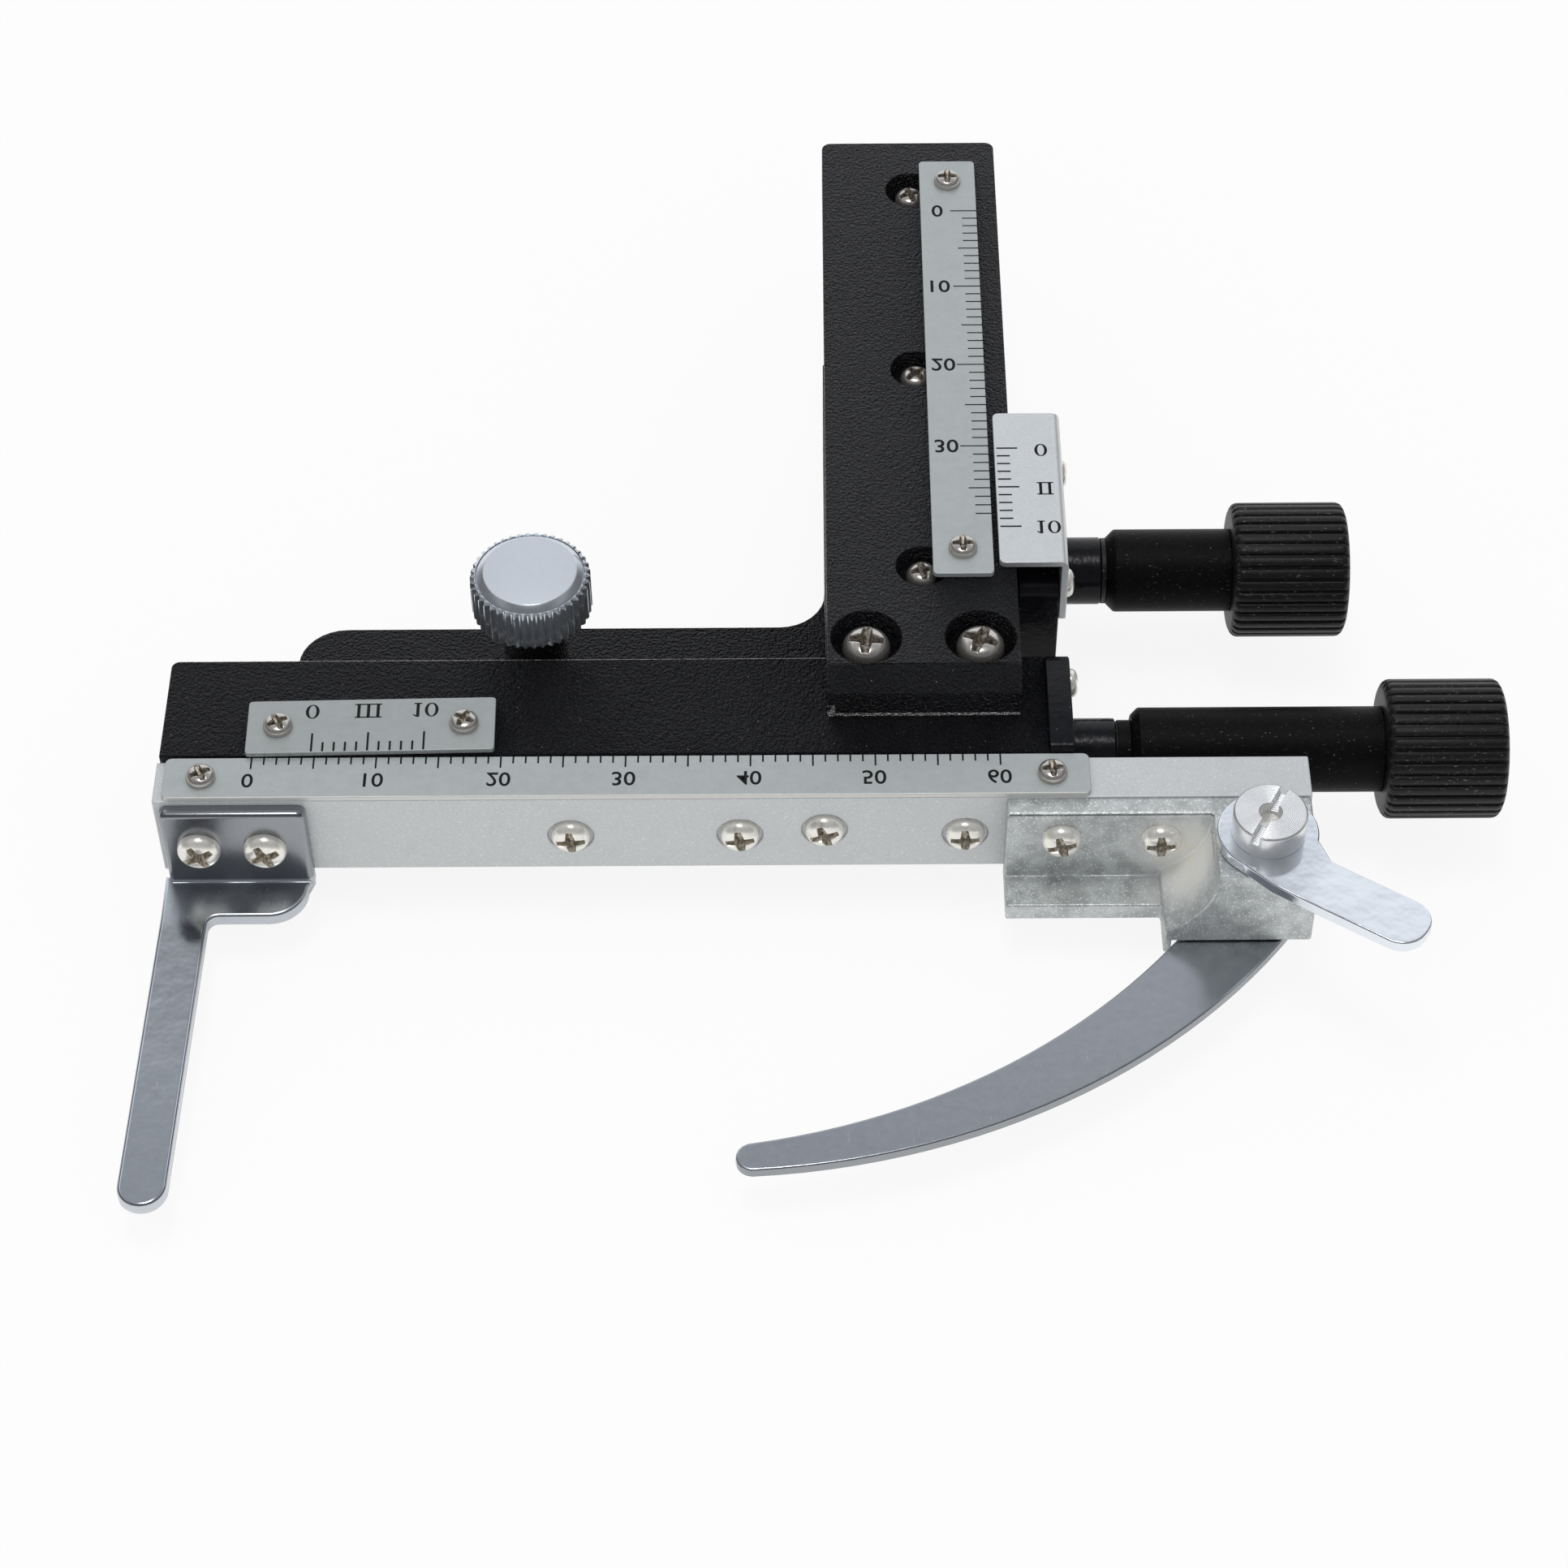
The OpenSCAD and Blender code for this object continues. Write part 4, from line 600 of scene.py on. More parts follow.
def soften(node, finish, width, segments=3, angle=30.0, reshape=None):
    """Copy a CAD node, round its sharp edges, and let the copy stand for it."""
    bm = bmesh.new()
    bm.from_mesh(NODES[node].data)
    bmesh.ops.remove_doubles(bm, verts=bm.verts, dist=CAD_WELD * MM)
    bmesh.ops.dissolve_limit(bm, angle_limit=math.radians(FLAT_ANGLE), verts=bm.verts,
                              edges=bm.edges)
    if reshape:
        reshape(bm)
    bmesh.ops.scale(bm, vec=(1 / MM,) * 3, verts=bm.verts)
    piece = build(node + "_dressed", bm, angle, finish, turn_out=False)
    add_bevel(piece, width, segments, angle, use_clamp_overlap=False, harden_normals=True)
    split = piece.modifiers.new("triangles", "TRIANGULATE")
    split.ngon_method = "BEAUTY"
    split.keep_custom_normals = True
    bake_modifiers(piece)
    settle(piece, [node])
    return piece


def ring(bm, centre, axis, radius, along, steps):
    """One ring of vertices about an axis, or a single one where the radius is zero."""
    if radius <= 0:
        angles, radius = [0.0], 0.0
    else:
        angles = [math.tau * i / steps for i in range(steps)]
    made = []
    for a in angles:
        u, v = radius * math.cos(a), radius * math.sin(a)
        offset = {"X": (along, u, v), "Y": (v, along, u), "Z": (u, v, along)}[axis]
        made.append(bm.verts.new(Vector(centre) + Vector(offset)))
    return made


def lathe(bm, profile, centre=(0, 0, 0), axis="Z", steps=64):
    """Turn a profile of (radius, height) points about an axis; closed where it ends on the axis."""
    rings = [ring(bm, centre, axis, r, h, steps) for r, h in profile]
    for low, high in zip(rings, rings[1:]):
        for i in range(steps):
            j = (i + 1) % steps
            corners = list(dict.fromkeys((low[i % len(low)], low[j % len(low)],
                                          high[j % len(high)], high[i % len(high)])))
            if len(corners) > 2:
                bm.faces.new(corners)


def loft(bm, sections):
    """Closed skin through sections with equal counts of points."""
    rows = [[bm.verts.new(p) for p in section] for section in sections]
    count = len(rows[0])
    for low, high in zip(rows, rows[1:]):
        for i in range(count):
            j = (i + 1) % count
            bm.faces.new((low[i], low[j], high[j], high[i]))
    bm.faces.new(rows[0][::-1])
    bm.faces.new(rows[-1])


def prism(bm, outline, low, high):
    """Closed prism over an outline in X and Y."""
    loft(bm, [[(x, y, z) for x, y in outline] for z in (low, high)])


def curve(centre, radius, start, end, steps):
    """Points of an arc, angles in degrees."""
    angles = [math.radians(start + (end - start) * i / steps) for i in range(steps + 1)]
    return [(centre[0] + radius * math.cos(a), centre[1] + radius * math.sin(a)) for a in angles]


def inset(outline, distance):
    """Move a closed outline that runs to the left inwards, corners mitred."""
    count, moved = len(outline), []
    for i, point in enumerate(outline):
        p, before, after = Vector(point), Vector(outline[i - 1]), Vector(outline[(i + 1) % count])
        a, b = (p - before).normalized(), (after - p).normalized()
        side = Vector((-a.y - b.y, a.x + b.x)).normalized()
        moved.append(p + side * distance / max(0.35, side.dot(Vector((-a.y, a.x)))))
    return moved


def rolled_plate(bm, outline, low, high, roll):
    """Stamped plate over an outline: a broad rolled edge above, a small one below."""
    area = sum(a[0] * b[1] - b[0] * a[1] for a, b in zip(outline, outline[1:] + outline[:1]))
    if area < 0:
        outline = outline[::-1]
    under, steps = 0.08, 5  # lower edge, and steps of the rolled one
    levels = [(under + 0.03, low), (under, low), (under * 0.3, low + under * 0.3),
              (0.0, low + under)]
    for k in range(steps + 1):
        a = math.pi / 2 * k / steps
        levels.append((roll * (1 - math.cos(a)), high - roll + roll * math.sin(a)))
    levels.append((roll + 0.03, high))
    loft(bm, [[(p.x, p.y, z) for p in inset(outline, d)] for d, z in levels])


def node_group(name, **inputs):
    """A Geometry Nodes tree with named inputs and one geometry output."""
    tree = bpy.data.node_groups.new(name, "GeometryNodeTree")
    tree.interface.new_socket("Geometry", in_out="OUTPUT", socket_type="NodeSocketGeometry")
    tree.interface.new_socket("Geometry", in_out="INPUT", socket_type="NodeSocketGeometry")
    for label, kind in inputs.items():
        tree.interface.new_socket(label, in_out="INPUT", socket_type="NodeSocket" + kind)
    sheet = Sheet(tree)
    return tree, sheet, sheet.node("NodeGroupInput")


def copies(sheet, finish, **values):
    """Put copies on points, make them real and give them a finish."""
    made = sheet.node("GeometryNodeInstanceOnPoints", **values)
    made = sheet.node("GeometryNodeRealizeInstances", Geometry=made)
    return sheet.node("GeometryNodeSetMaterial", Geometry=made, Material=finish)


def tick_tree():
    """Marks of a scale along +X: one per division, longer at each 5th and 10th."""
    tree, sheet, given = node_group("scale_ticks", Count="Int", Pitch="Float", Short="Float",
                                    Middle="Float", Long="Float", Width="Float", Height="Float",
                                    Ink="Material")
    step = sheet.node("ShaderNodeCombineXYZ", X=given.of("Pitch"))
    line = sheet.node("GeometryNodeMeshLine", mode="OFFSET", Count=given.of("Count"), Offset=step)
    index = sheet.node("GeometryNodeInputIndex")
    fifth, tenth = (index % 5.0) < 0.5, (index % 10.0) < 0.5
    length = (given.of("Short") + fifth * (given.of("Middle") - given.of("Short"))
              + tenth * (given.of("Long") - given.of("Middle")))
    size = sheet.node("ShaderNodeCombineXYZ", X=given.of("Width"), Y=length, Z=given.of("Height"))
    block = sheet.node("GeometryNodeMeshCube")
    block = sheet.node("GeometryNodeTransform", Geometry=block, Translation=(0, 0.5, 0))
    marks = copies(sheet, given.of("Ink"), Points=line, Instance=block, Scale=size)
    sheet.node("NodeGroupOutput", Geometry=marks)
    return tree


def ring_tree():
    """Copies of the given shape round an axis through the origin."""
    tree, sheet, given = node_group("ring_of_copies", Count="Int", Axis="Vector",
                                    Finish="Material")
    line = sheet.node("GeometryNodeMeshLine", mode="OFFSET", Count=given.of("Count"),
                      Offset=(0, 0, 0))
    angle = sheet.node("GeometryNodeInputIndex") * math.tau / given.of("Count")
    turn = sheet.node("ShaderNodeVectorMath", given.of("Axis"), operation="SCALE", Scale=angle)
    crown = copies(sheet, given.of("Finish"), Points=line, Instance=given, Rotation=turn)
    sheet.node("NodeGroupOutput", Geometry=crown)
    return tree


def screw_tree():
    """One screw on each point, turned by the point's attribute."""
    tree, sheet, given = node_group("screw_set", Screw="Object", Finish="Material",
                                    Recess="Material")
    turn = sheet.node("GeometryNodeInputNamedAttribute", data_type="FLOAT_VECTOR", Name="turn")
    screw = sheet.node("GeometryNodeObjectInfo", Object=given.of("Screw"), out="Geometry")
    screws = copies(sheet, given.of("Finish"), Points=given, Instance=screw, Rotation=turn)
    recess = sheet.node("GeometryNodeInputNamedAttribute", data_type="BOOLEAN", Name="recess")
    screws = sheet.node("GeometryNodeSetMaterial", Geometry=screws, Selection=recess,
                        Material=given.of("Recess"))
    sheet.node("NodeGroupOutput", Geometry=screws)
    return tree


def grow(piece, tree, **values):
    """Run a tree on a piece with the given inputs and keep the result as a plain mesh."""
    modifier = piece.modifiers.new(tree.name, "NODES")
    modifier.node_group = tree
    for item in tree.interface.items_tree:
        if item.item_type == "SOCKET" and item.in_out == "INPUT" and item.name in values:
            modifier[item.identifier] = values[item.name]
    return bake_modifiers(piece)


def join(name, pieces):
    """One piece from several, with their finishes kept."""
    bm = bmesh.new()
    slots = []
    for piece in pieces:
        offset = len(bm.faces)
        bm.from_mesh(piece.data)
        bm.faces.ensure_lookup_table()
        for face in bm.faces[offset:]:
            finish = piece.data.materials[face.material_index] if piece.data.materials else None
            if finish not in slots:
                slots.append(finish)
            face.material_index = slots.index(finish)
    mesh = bpy.data.meshes.new(name)
    bm.to_mesh(mesh)
    bm.free()
    for finish in slots:
        mesh.materials.append(finish)
    for piece in pieces:
        bpy.data.objects.remove(piece)
    return new_piece(name, mesh)


def islands(node):
    """Boxes of the separate solids of a CAD node, in millimetres."""
    bm = bmesh.new()
    bm.from_mesh(NODES[node].data)
    bmesh.ops.remove_doubles(bm, verts=bm.verts, dist=SOLID_WELD * MM)
    left, boxes = set(bm.verts), []
    while left:
        group, edge = set(), [left.pop()]
        while edge:
            vert = edge.pop()
            group.add(vert)
            for link in vert.link_edges:
                other = link.other_vert(vert)
                if other in left:
                    left.discard(other)
                    edge.append(other)
        low = Vector(min(v.co[i] for v in group) / MM for i in range(3))
        high = Vector(max(v.co[i] for v in group) / MM for i in range(3))
        boxes.append((low, high))
    bm.free()
    return sorted(boxes, key=lambda box: tuple(round(c, 1) for c in box[0]))


def pan_screw(name, head_d, head_h, shank_d, length):
    """Cross-recessed pan head screw: seat at the origin, shank down -Z."""
    head_r = head_d / 2
    rim, power, inverse = 0.2, 0.55, 3.64  # straight edge and curve of the dome, and its inverse
    angles = [math.radians(a) for a in range(0, 90, 9)]
    dome = [(head_r * math.cos(a) ** power, head_h * (rim + (1 - rim) * math.sin(a)))
            for a in angles]
    bm = bmesh.new()
    lathe(bm, [(0, -length), (shank_d / 2 - 0.1, -length), (shank_d / 2, 0.1 - length),
               (shank_d / 2, 0), (head_r - 0.05, 0), (head_r, 0.05)] + dome + [(0, head_h)],
          steps=48)
    blank = build(name, bm, 40.0)
    bm = bmesh.new()
    sections = []
    for z, reach, half in ((head_h * 1.3, 0.92, 0.21), (head_h * 0.86, 0.74, 0.16),
                           (head_h * 0.3, 0.3, 0.07)):
        a, b = reach * head_r, half * head_r
        c = b * 1.45
        sections.append([(a, -b, z), (a, b, z), (c, c, z), (b, a, z), (-b, a, z), (-c, c, z),
                         (-a, b, z), (-a, -b, z), (-c, -c, z), (-b, -a, z), (b, -a, z), (c, -c, z)])
    loft(bm, sections[::-1])
    cutter = build(name + "_recess", bm, 20.0)
    cut = blank.modifiers.new("recess", "BOOLEAN")
    cut.operation = "DIFFERENCE"
    cut.solver = "EXACT"
    cut.object = cutter
    bake_modifiers(blank)
    marked = blank.data.attributes.new("recess", "BOOLEAN", "FACE")
    for face in blank.data.polygons:
        r, z = face.center.xy.length / MM / head_r, face.center.z / MM / head_h
        under = rim + (1 - rim) * math.sqrt(max(0.0, 1 - r ** inverse)) - z
        marked.data[face.index].value = bool(r < 0.86 and z > 0.25 and under > 0.035)
    add_bevel(blank, 0.02 * MM * head_d, 2, 42.0, use_clamp_overlap=True)
    bake_modifiers(blank)
    blank.data.shade_smooth()
    blank.data.set_sharp_from_angle(angle=math.radians(40))
    bpy.data.objects.remove(cutter)
    return blank


def place_screws(tree, node, facing, head_h, spins):
    """Stand for a CAD screw node with detailed screws at its solids' places."""
    solids = islands(node)
    axis = "XYZ".index(facing[1])
    verts, turns = [], []
    for (low, high), spin in zip(solids, spins * len(solids)):
        seat = (low + high) / 2
        seat[axis] = high[axis] - head_h if facing[0] == "+" else low[axis] + head_h
        verts.append(seat * MM)
        turn = Euler(FACINGS[facing]).to_matrix() @ Matrix.Rotation(math.radians(spin), 3, "Z")
        turns += list(turn.to_euler())
    low, high = solids[0]
    size = high - low
    across = size[(axis + 1) % 3]
    shank = 1.2 if round(across, 1) == 2.4 else 1.7
    proto = pan_screw(node + "_one", across, head_h, shank, size[axis] - head_h)
    mesh = bpy.data.meshes.new(node + "_dressed")
    mesh.from_pydata(verts, [], [])
    attribute = mesh.attributes.new("turn", "FLOAT_VECTOR", "POINT")
    attribute.data.foreach_set("vector", turns)
    piece = new_piece(node + "_dressed", mesh)
    # upward screws take the darker painted copy of the plating, the others the lighter one
    kinds = ("plate_nickel", "plate_grime") if facing == "+Z" else ("nickel", "recess_grime")
    grow(piece, tree, Screw=proto, Finish=FINISHES[kinds[0]], Recess=FINISHES[kinds[1]])
    bpy.data.objects.remove(proto)
    settle(piece, [node])


def flat_digits(text, height, centre, weight=0.009):
    """Digits of the scale in a plain face, flipped front to back as the plates show them."""
    curve = bpy.data.curves.new("digits", "FONT")
    curve.body = text
    curve.align_x = "CENTER"
    curve.extrude = 0.5
    curve.offset = weight
    curve.resolution_u = 4
    made = new_piece("digits", curve)
    graph = bpy.context.evaluated_depsgraph_get()
    mesh = bpy.data.meshes.new_from_object(made.evaluated_get(graph))
    bpy.data.objects.remove(made)
    bm = bmesh.new()
    bm.from_mesh(mesh)
    ys = [v.co.y for v in bm.verts]
    xs = [v.co.x for v in bm.verts]
    scale = height / (max(ys) - min(ys))
    middle = Vector(((max(xs) + min(xs)) / 2, (max(ys) + min(ys)) / 2, 0))
    for vert in bm.verts:
        p = (vert.co - middle) * scale
        vert.co = Vector((p.x + centre[0], centre[1] - p.y, vert.co.z))
    return bm


def bar(x, y, wide, high):
    """Outline of a rectangle about a middle."""
    return [(x - wide / 2, y - high / 2), (x + wide / 2, y - high / 2),
            (x + wide / 2, y + high / 2), (x - wide / 2, y + high / 2)]


def serif_bars(count, height, width):
    """Outlines of a Roman numeral of one to three strokes with long serifs."""
    stem, thin, gap = STEM * height, SERIF * height, width / count
    outlines = [bar((i - (count - 1) / 2) * gap, 0.0, stem, height) for i in range(count)]
    reach = (count - 1) * gap + stem * 2.5
    return outlines + [bar(0.0, s * (height - thin) / 2, reach, thin) for s in (-1, 1)]


def serif_zero(bm, x, height, width):
    """An oval ring, thick at its sides and thin at its ends."""
    steps = 28
    thick, thin = STEM * height, 0.06 * height
    rows = []
    for z in (-0.5, 0.5):
        for inset_x, inset_y in ((0, 0), (thick, thin)):
            rows.append([bm.verts.new((x + (width / 2 - inset_x) * math.cos(math.tau * i / steps),
                                       (height / 2 - inset_y) * math.sin(math.tau * i / steps), z))
                         for i in range(steps)])
    outer_low, inner_low, outer_high, inner_high = rows
    for i in range(steps):
        j = (i + 1) % steps
        bm.faces.new((outer_high[i], outer_high[j], inner_high[j], inner_high[i]))
        bm.faces.new((outer_low[j], outer_low[i], inner_low[i], inner_low[j]))
        bm.faces.new((outer_low[i], outer_low[j], outer_high[j], outer_high[i]))
        bm.faces.new((inner_low[j], inner_low[i], inner_high[i], inner_high[j]))


def serif_one(bm, x, height):
    """A one with serifs, flipped front to back."""
    stem, thin = STEM * height, SERIF * height
    left, foot = x - stem * 1.5, -height / 2
    flag = [(left, 0.14 * height + foot), (x - stem / 2, foot),
            (x - stem / 2, 0.1 * height + foot), (left, 0.21 * height + foot)]
    for outline in (bar(x, 0.0, stem, height), bar(x, (height - thin) / 2, stem * 2.5, thin), flag):
        prism(bm, outline, -0.5, 0.5)


def serif_text(text, height, centre):
    """Serif digits and Roman numerals of the vernier plates."""
    bm = bmesh.new()
    if set(text) == {"I"}:
        for outline in serif_bars(len(text), height, 0.52 * height * len(text)):
            prism(bm, outline, -0.5, 0.5)
    elif text == "0":
        serif_zero(bm, 0.0, height, 0.74 * height)
    else:
        serif_one(bm, -0.44 * height, height)
        serif_zero(bm, 0.3 * height, height, 0.74 * height)
    for vert in bm.verts:
        vert.co = Vector((vert.co.x + centre[0], vert.co.y + centre[1], vert.co.z))
    return bm


def ink_words(name, words, height, thickness):
    """Words as thin closed ink over a plate at a given height."""
    pieces = []
    for i, bm in enumerate(words):
        for vert in bm.verts:
            vert.co.z = height - thickness + (thickness * 2 if vert.co.z > 0 else 0)
        pieces.append(build(f"{name}_{i}", bm, 30.0, "scale_ink"))
    return pieces


def ink_ticks(name, tree, count, pitch, lengths, width, thickness, place):
    """Scale marks put in place by a matrix in millimetres."""
    piece = new_piece(name, bpy.data.meshes.new(name))
    short, middle, long = lengths
    grow(piece, tree, Count=count, Pitch=pitch, Short=short, Middle=middle, Long=long, Width=width,
         Height=2 * thickness, Ink=FINISHES["scale_ink"])
    piece.data.transform(Matrix.Scale(MM, 4) @ place)
    return piece


class MSTAGE_OT_castings(bpy.types.Operator):
    """Round the edges of the black castings and give them their coat"""

    bl_idname = "mstage.castings"
    bl_label = "Dress Castings"

    def execute(self, context):
        edge = context.scene.mstage_sizes.casting_edge
        for node, finish, share in (("base_plate", "base_coat", 1.0),
                                    ("y_cover", "black_coat", 0.5), ("x_body", "body_coat", 1.0)):
            soften(node, finish, edge * share)
        for node in ("y_bearing_block", "x_end_plate", "y_bush", "x_bush"):
            soften(node, "black_gloss", edge)
        return {"FINISHED"}


class MSTAGE_OT_scale_plates(bpy.types.Operator):
    """Dress the four scale plates with their marks and digits"""

    bl_idname = "mstage.scale_plates"
    bl_label = "Dress Scale Plates"

    def execute(self, context):
        sizes = context.scene.mstage_sizes
        ink = sizes.ink_height / MM
        width = sizes.tick_width / MM
        digit = sizes.digit_height / MM
        sunk = 2 * ink
        over = Matrix.Rotation(math.pi, 4, "X")
        across = Matrix.Rotation(-math.pi / 2, 4, "Z")
        ticks = tick_tree()

        def lower(top):
            def reshape(bm):
                for vert in bm.verts:
                    if vert.co.z > (top - 0.05) * MM:
                        vert.co.z -= sunk * MM
            return reshape

        def mark(name, node, place, count, pitch, lengths, wide, words):
            top = to_mm(node)[1].z - sunk
            place = Matrix.Translation((0, 0, top)) @ place
            marks = [ink_ticks(name, ticks, count, pitch, lengths, wide, ink, place)]
            marks += ink_words(name + "_words", words, top, ink)
            settle(join(name + "_marks", marks), [], NODES[node]["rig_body"])

        for node, finish, slot in (("x_scale_plate", "scale_long", "scale_grey"),
                                   ("y_scale_plate", "scale_grey", "scale_grey"),
                                   ("x_vernier_plate", "scale_short", "scale_grey"),
                                   ("y_vernier_plate", "bright_aluminium", "bright_aluminium")):
            soften(node, finish, sizes.plate_edge, reshape=lower(to_mm(node)[1].z))

        low, high = to_mm("x_scale_plate")
        zero, middle = low.x + 6.9, high.y - 2.42  # place of the first mark, line of the digits
        mark("x_scale", "x_scale_plate",
             Matrix.Translation((zero, high.y, 0)) @ over,
             count=61, pitch=1.0, lengths=(0.75, 1.2, 1.2), wide=width,
             words=[flat_digits(str(i), digit, (zero + i - (0.1 if i else 0.16), middle))
                    for i in range(0, 61, 10)])

        low, high = to_mm("y_scale_plate")
        zero = high.y - 6.84
        mark("y_scale", "y_scale_plate",
             Matrix.Translation((high.x, zero, 0)) @ across @ over,
             count=39, pitch=1.0, lengths=(1.32, 1.8, 2.35), wide=width * 0.85,
             words=[flat_digits(str(i), 1.55, (low.x + 1.5, zero - i)) for i in range(0, 31, 10)])

        low, high = to_mm("x_vernier_plate")
        middle = ((low.x + high.x) / 2, (low.y + high.y) / 2, 0)
        askew = Matrix.Translation(middle) @ Matrix.Rotation(math.radians(1), 4, "Z")
        words = []
        for text, x in (("0", -4.79), ("III", -0.28), ("10", 4.38)):
            words.append(serif_text(text, 1.5, (0, 0)))
            words[-1].transform(askew @ Matrix.Translation((x, 1.55, 0)))
        mark("x_vernier", "x_vernier_plate",
             askew @ Matrix.Translation((-4.68, -2.72, 0)),
             count=11, pitch=0.9, lengths=(0.97, 1.94, 1.94), wide=0.17, words=words)

        low, high = to_mm("y_vernier_plate")
        mark("y_vernier", "y_vernier_plate",
             Matrix.Translation((low.x + 0.2, high.y - 4.25, 0)) @ across,
             count=11, pitch=0.92, lengths=(1.1, 1.75, 1.75), wide=0.15,
             words=[serif_text(text, 1.45, (x, high.y - back)) for text, x, back in (
                 ("0", 42.42, 4.5), ("II", 42.6, 9.05), ("10", 42.72, 13.55))])
        return {"FINISHED"}


class MSTAGE_OT_slide_bar(bpy.types.Operator):
    """Round the slide bar and give it its sparkling paint"""

    bl_idname = "mstage.slide_bar"
    bl_label = "Dress Slide Bar"

    def execute(self, context):
        soften("slide_bar", "silver_paint", context.scene.mstage_sizes.casting_edge)
        return {"FINISHED"}


class MSTAGE_OT_screws(bpy.types.Operator):
    """Put cross-recessed screws on the places of the CAD screws"""

    bl_idname = "mstage.screws"
    bl_label = "Place Screws"

    def execute(self, context):
        tree = screw_tree()
        for node, facing, head_h, spins in (
                ("y_vernier_screws", "+X", 0.75, [20, 65]),
                ("x_end_screws", "+X", 0.75, [10, 50]),
                ("y_rail_screws", "+Z", 1.2, [12, 40, 22]),
                ("column_screws", "+Z", 1.62, [84, 68]),
                ("y_scale_screws", "+Z", 0.75, [2, 0]),
                ("x_vernier_screws", "+Z", 0.75, [28, 62]),
                ("x_scale_screws", "+Z", 0.75, [25, 5]),
                ("bar_screws", "-Y", 1.2, [5, 8, 20, 2]),
                ("finger_screws", "-Y", 1.2, [30, 25]),
                ("bracket_screws", "-Y", 1.2, [15, 3])):
            place_screws(tree, node, facing, head_h, spins)
        return {"FINISHED"}


class MSTAGE_OT_thumb_screw(bpy.types.Operator):
    """Build the knurled thumb screw with its thread"""

    bl_idname = "mstage.thumb_screw"
    bl_label = "Build Thumb Screw"

    def execute(self, context):
        sizes = context.scene.mstage_sizes
        low, high = to_mm("thumb_screw")
        crest = (high.x - low.x) / 2
        flat, tooth = crest * 0.765, crest * 0.075  # radius of the flat top, height of a tooth
        head_z = 11.1  # underside of the head
        chamfer_low, top = high.z - 0.62, high.z
        root = crest - tooth
        centre = ((low.x + high.x) / 2, (low.y + high.y) / 2, 0)
        bm = bmesh.new()
        lathe(bm, [(0, head_z), (root - 0.12, head_z), (root - 0.03, head_z + 0.03),
                   (root, head_z + 0.12), (root, chamfer_low), (flat + 0.55, top - 0.36),
                   (flat + 0.14, top - 0.1), (flat + 0.05, top - 0.03), (flat - 0.06, top),
                   (0, top)], centre, steps=96)
        head = build("thumb_head", bm, 50.0, "thumb_chrome")

        half = math.pi / sizes.tooth_count
        bm = bmesh.new()
        sections = []
        for z, reach in ((head_z + 0.02, -0.02), (head_z + 0.1, 0.75), (head_z + 0.25, 1.0),
                         (chamfer_low - 0.12, 1.0), (chamfer_low, 0.86),
                         (chamfer_low + 0.2, -0.05)):
            r = root + tooth * reach
            base = root - 0.06
            sections.append([(base * math.cos(half * 0.97), -base * math.sin(half * 0.97), z),
                             (r, -r * math.sin(half * 0.16), z), (r, r * math.sin(half * 0.16), z),
                             (base * math.cos(half * 0.97), base * math.sin(half * 0.97), z)])
        loft(bm, sections)
        teeth = build("thumb_teeth", bm, 25.0)
        grow(teeth, ring_tree(), Count=sizes.tooth_count, Axis=(0.0, 0.0, 1.0),
             Finish=FINISHES["thumb_chrome"])
        teeth.data.transform(Matrix.Translation(Vector(centre) * MM))

        pitch = sizes.thread_pitch / MM
        radius, depth = 1.95, 0.36
        steps, rows = 28, 8  # points round the thread, rows for each turn
        count = int(-low.z / pitch * rows)
        sections = []
        for k in range(count + 1):
            z = low.z + (0.0 - low.z) * k / count
            tip = min(1.0, 0.7 + 0.3 * (z - low.z) / 0.4)
            section = []
            for i in range(steps):
                t = ((z - low.z) / pitch - i / steps) % 1.0
                r = (radius - depth * min(1.0, abs(2 * t - 1) * 1.25)) * tip
                a = math.tau * i / steps
                section.append((centre[0] + r * math.cos(a), centre[1] + r * math.sin(a), z))
            sections.append(section)
        bm = bmesh.new()
        loft(bm, sections)
        neck = 1.7  # radius of the relieved neck
        lathe(bm, [(0, -0.5), (neck, -0.5), (neck, head_z + 0.2), (0, head_z + 0.2)], centre,
              steps=48)
        shank = build("thumb_thread", bm, 50.0, "nickel")
        settle(join("thumb_screw_dressed", [head, teeth, shank]), ["thumb_screw"])
        return {"FINISHED"}


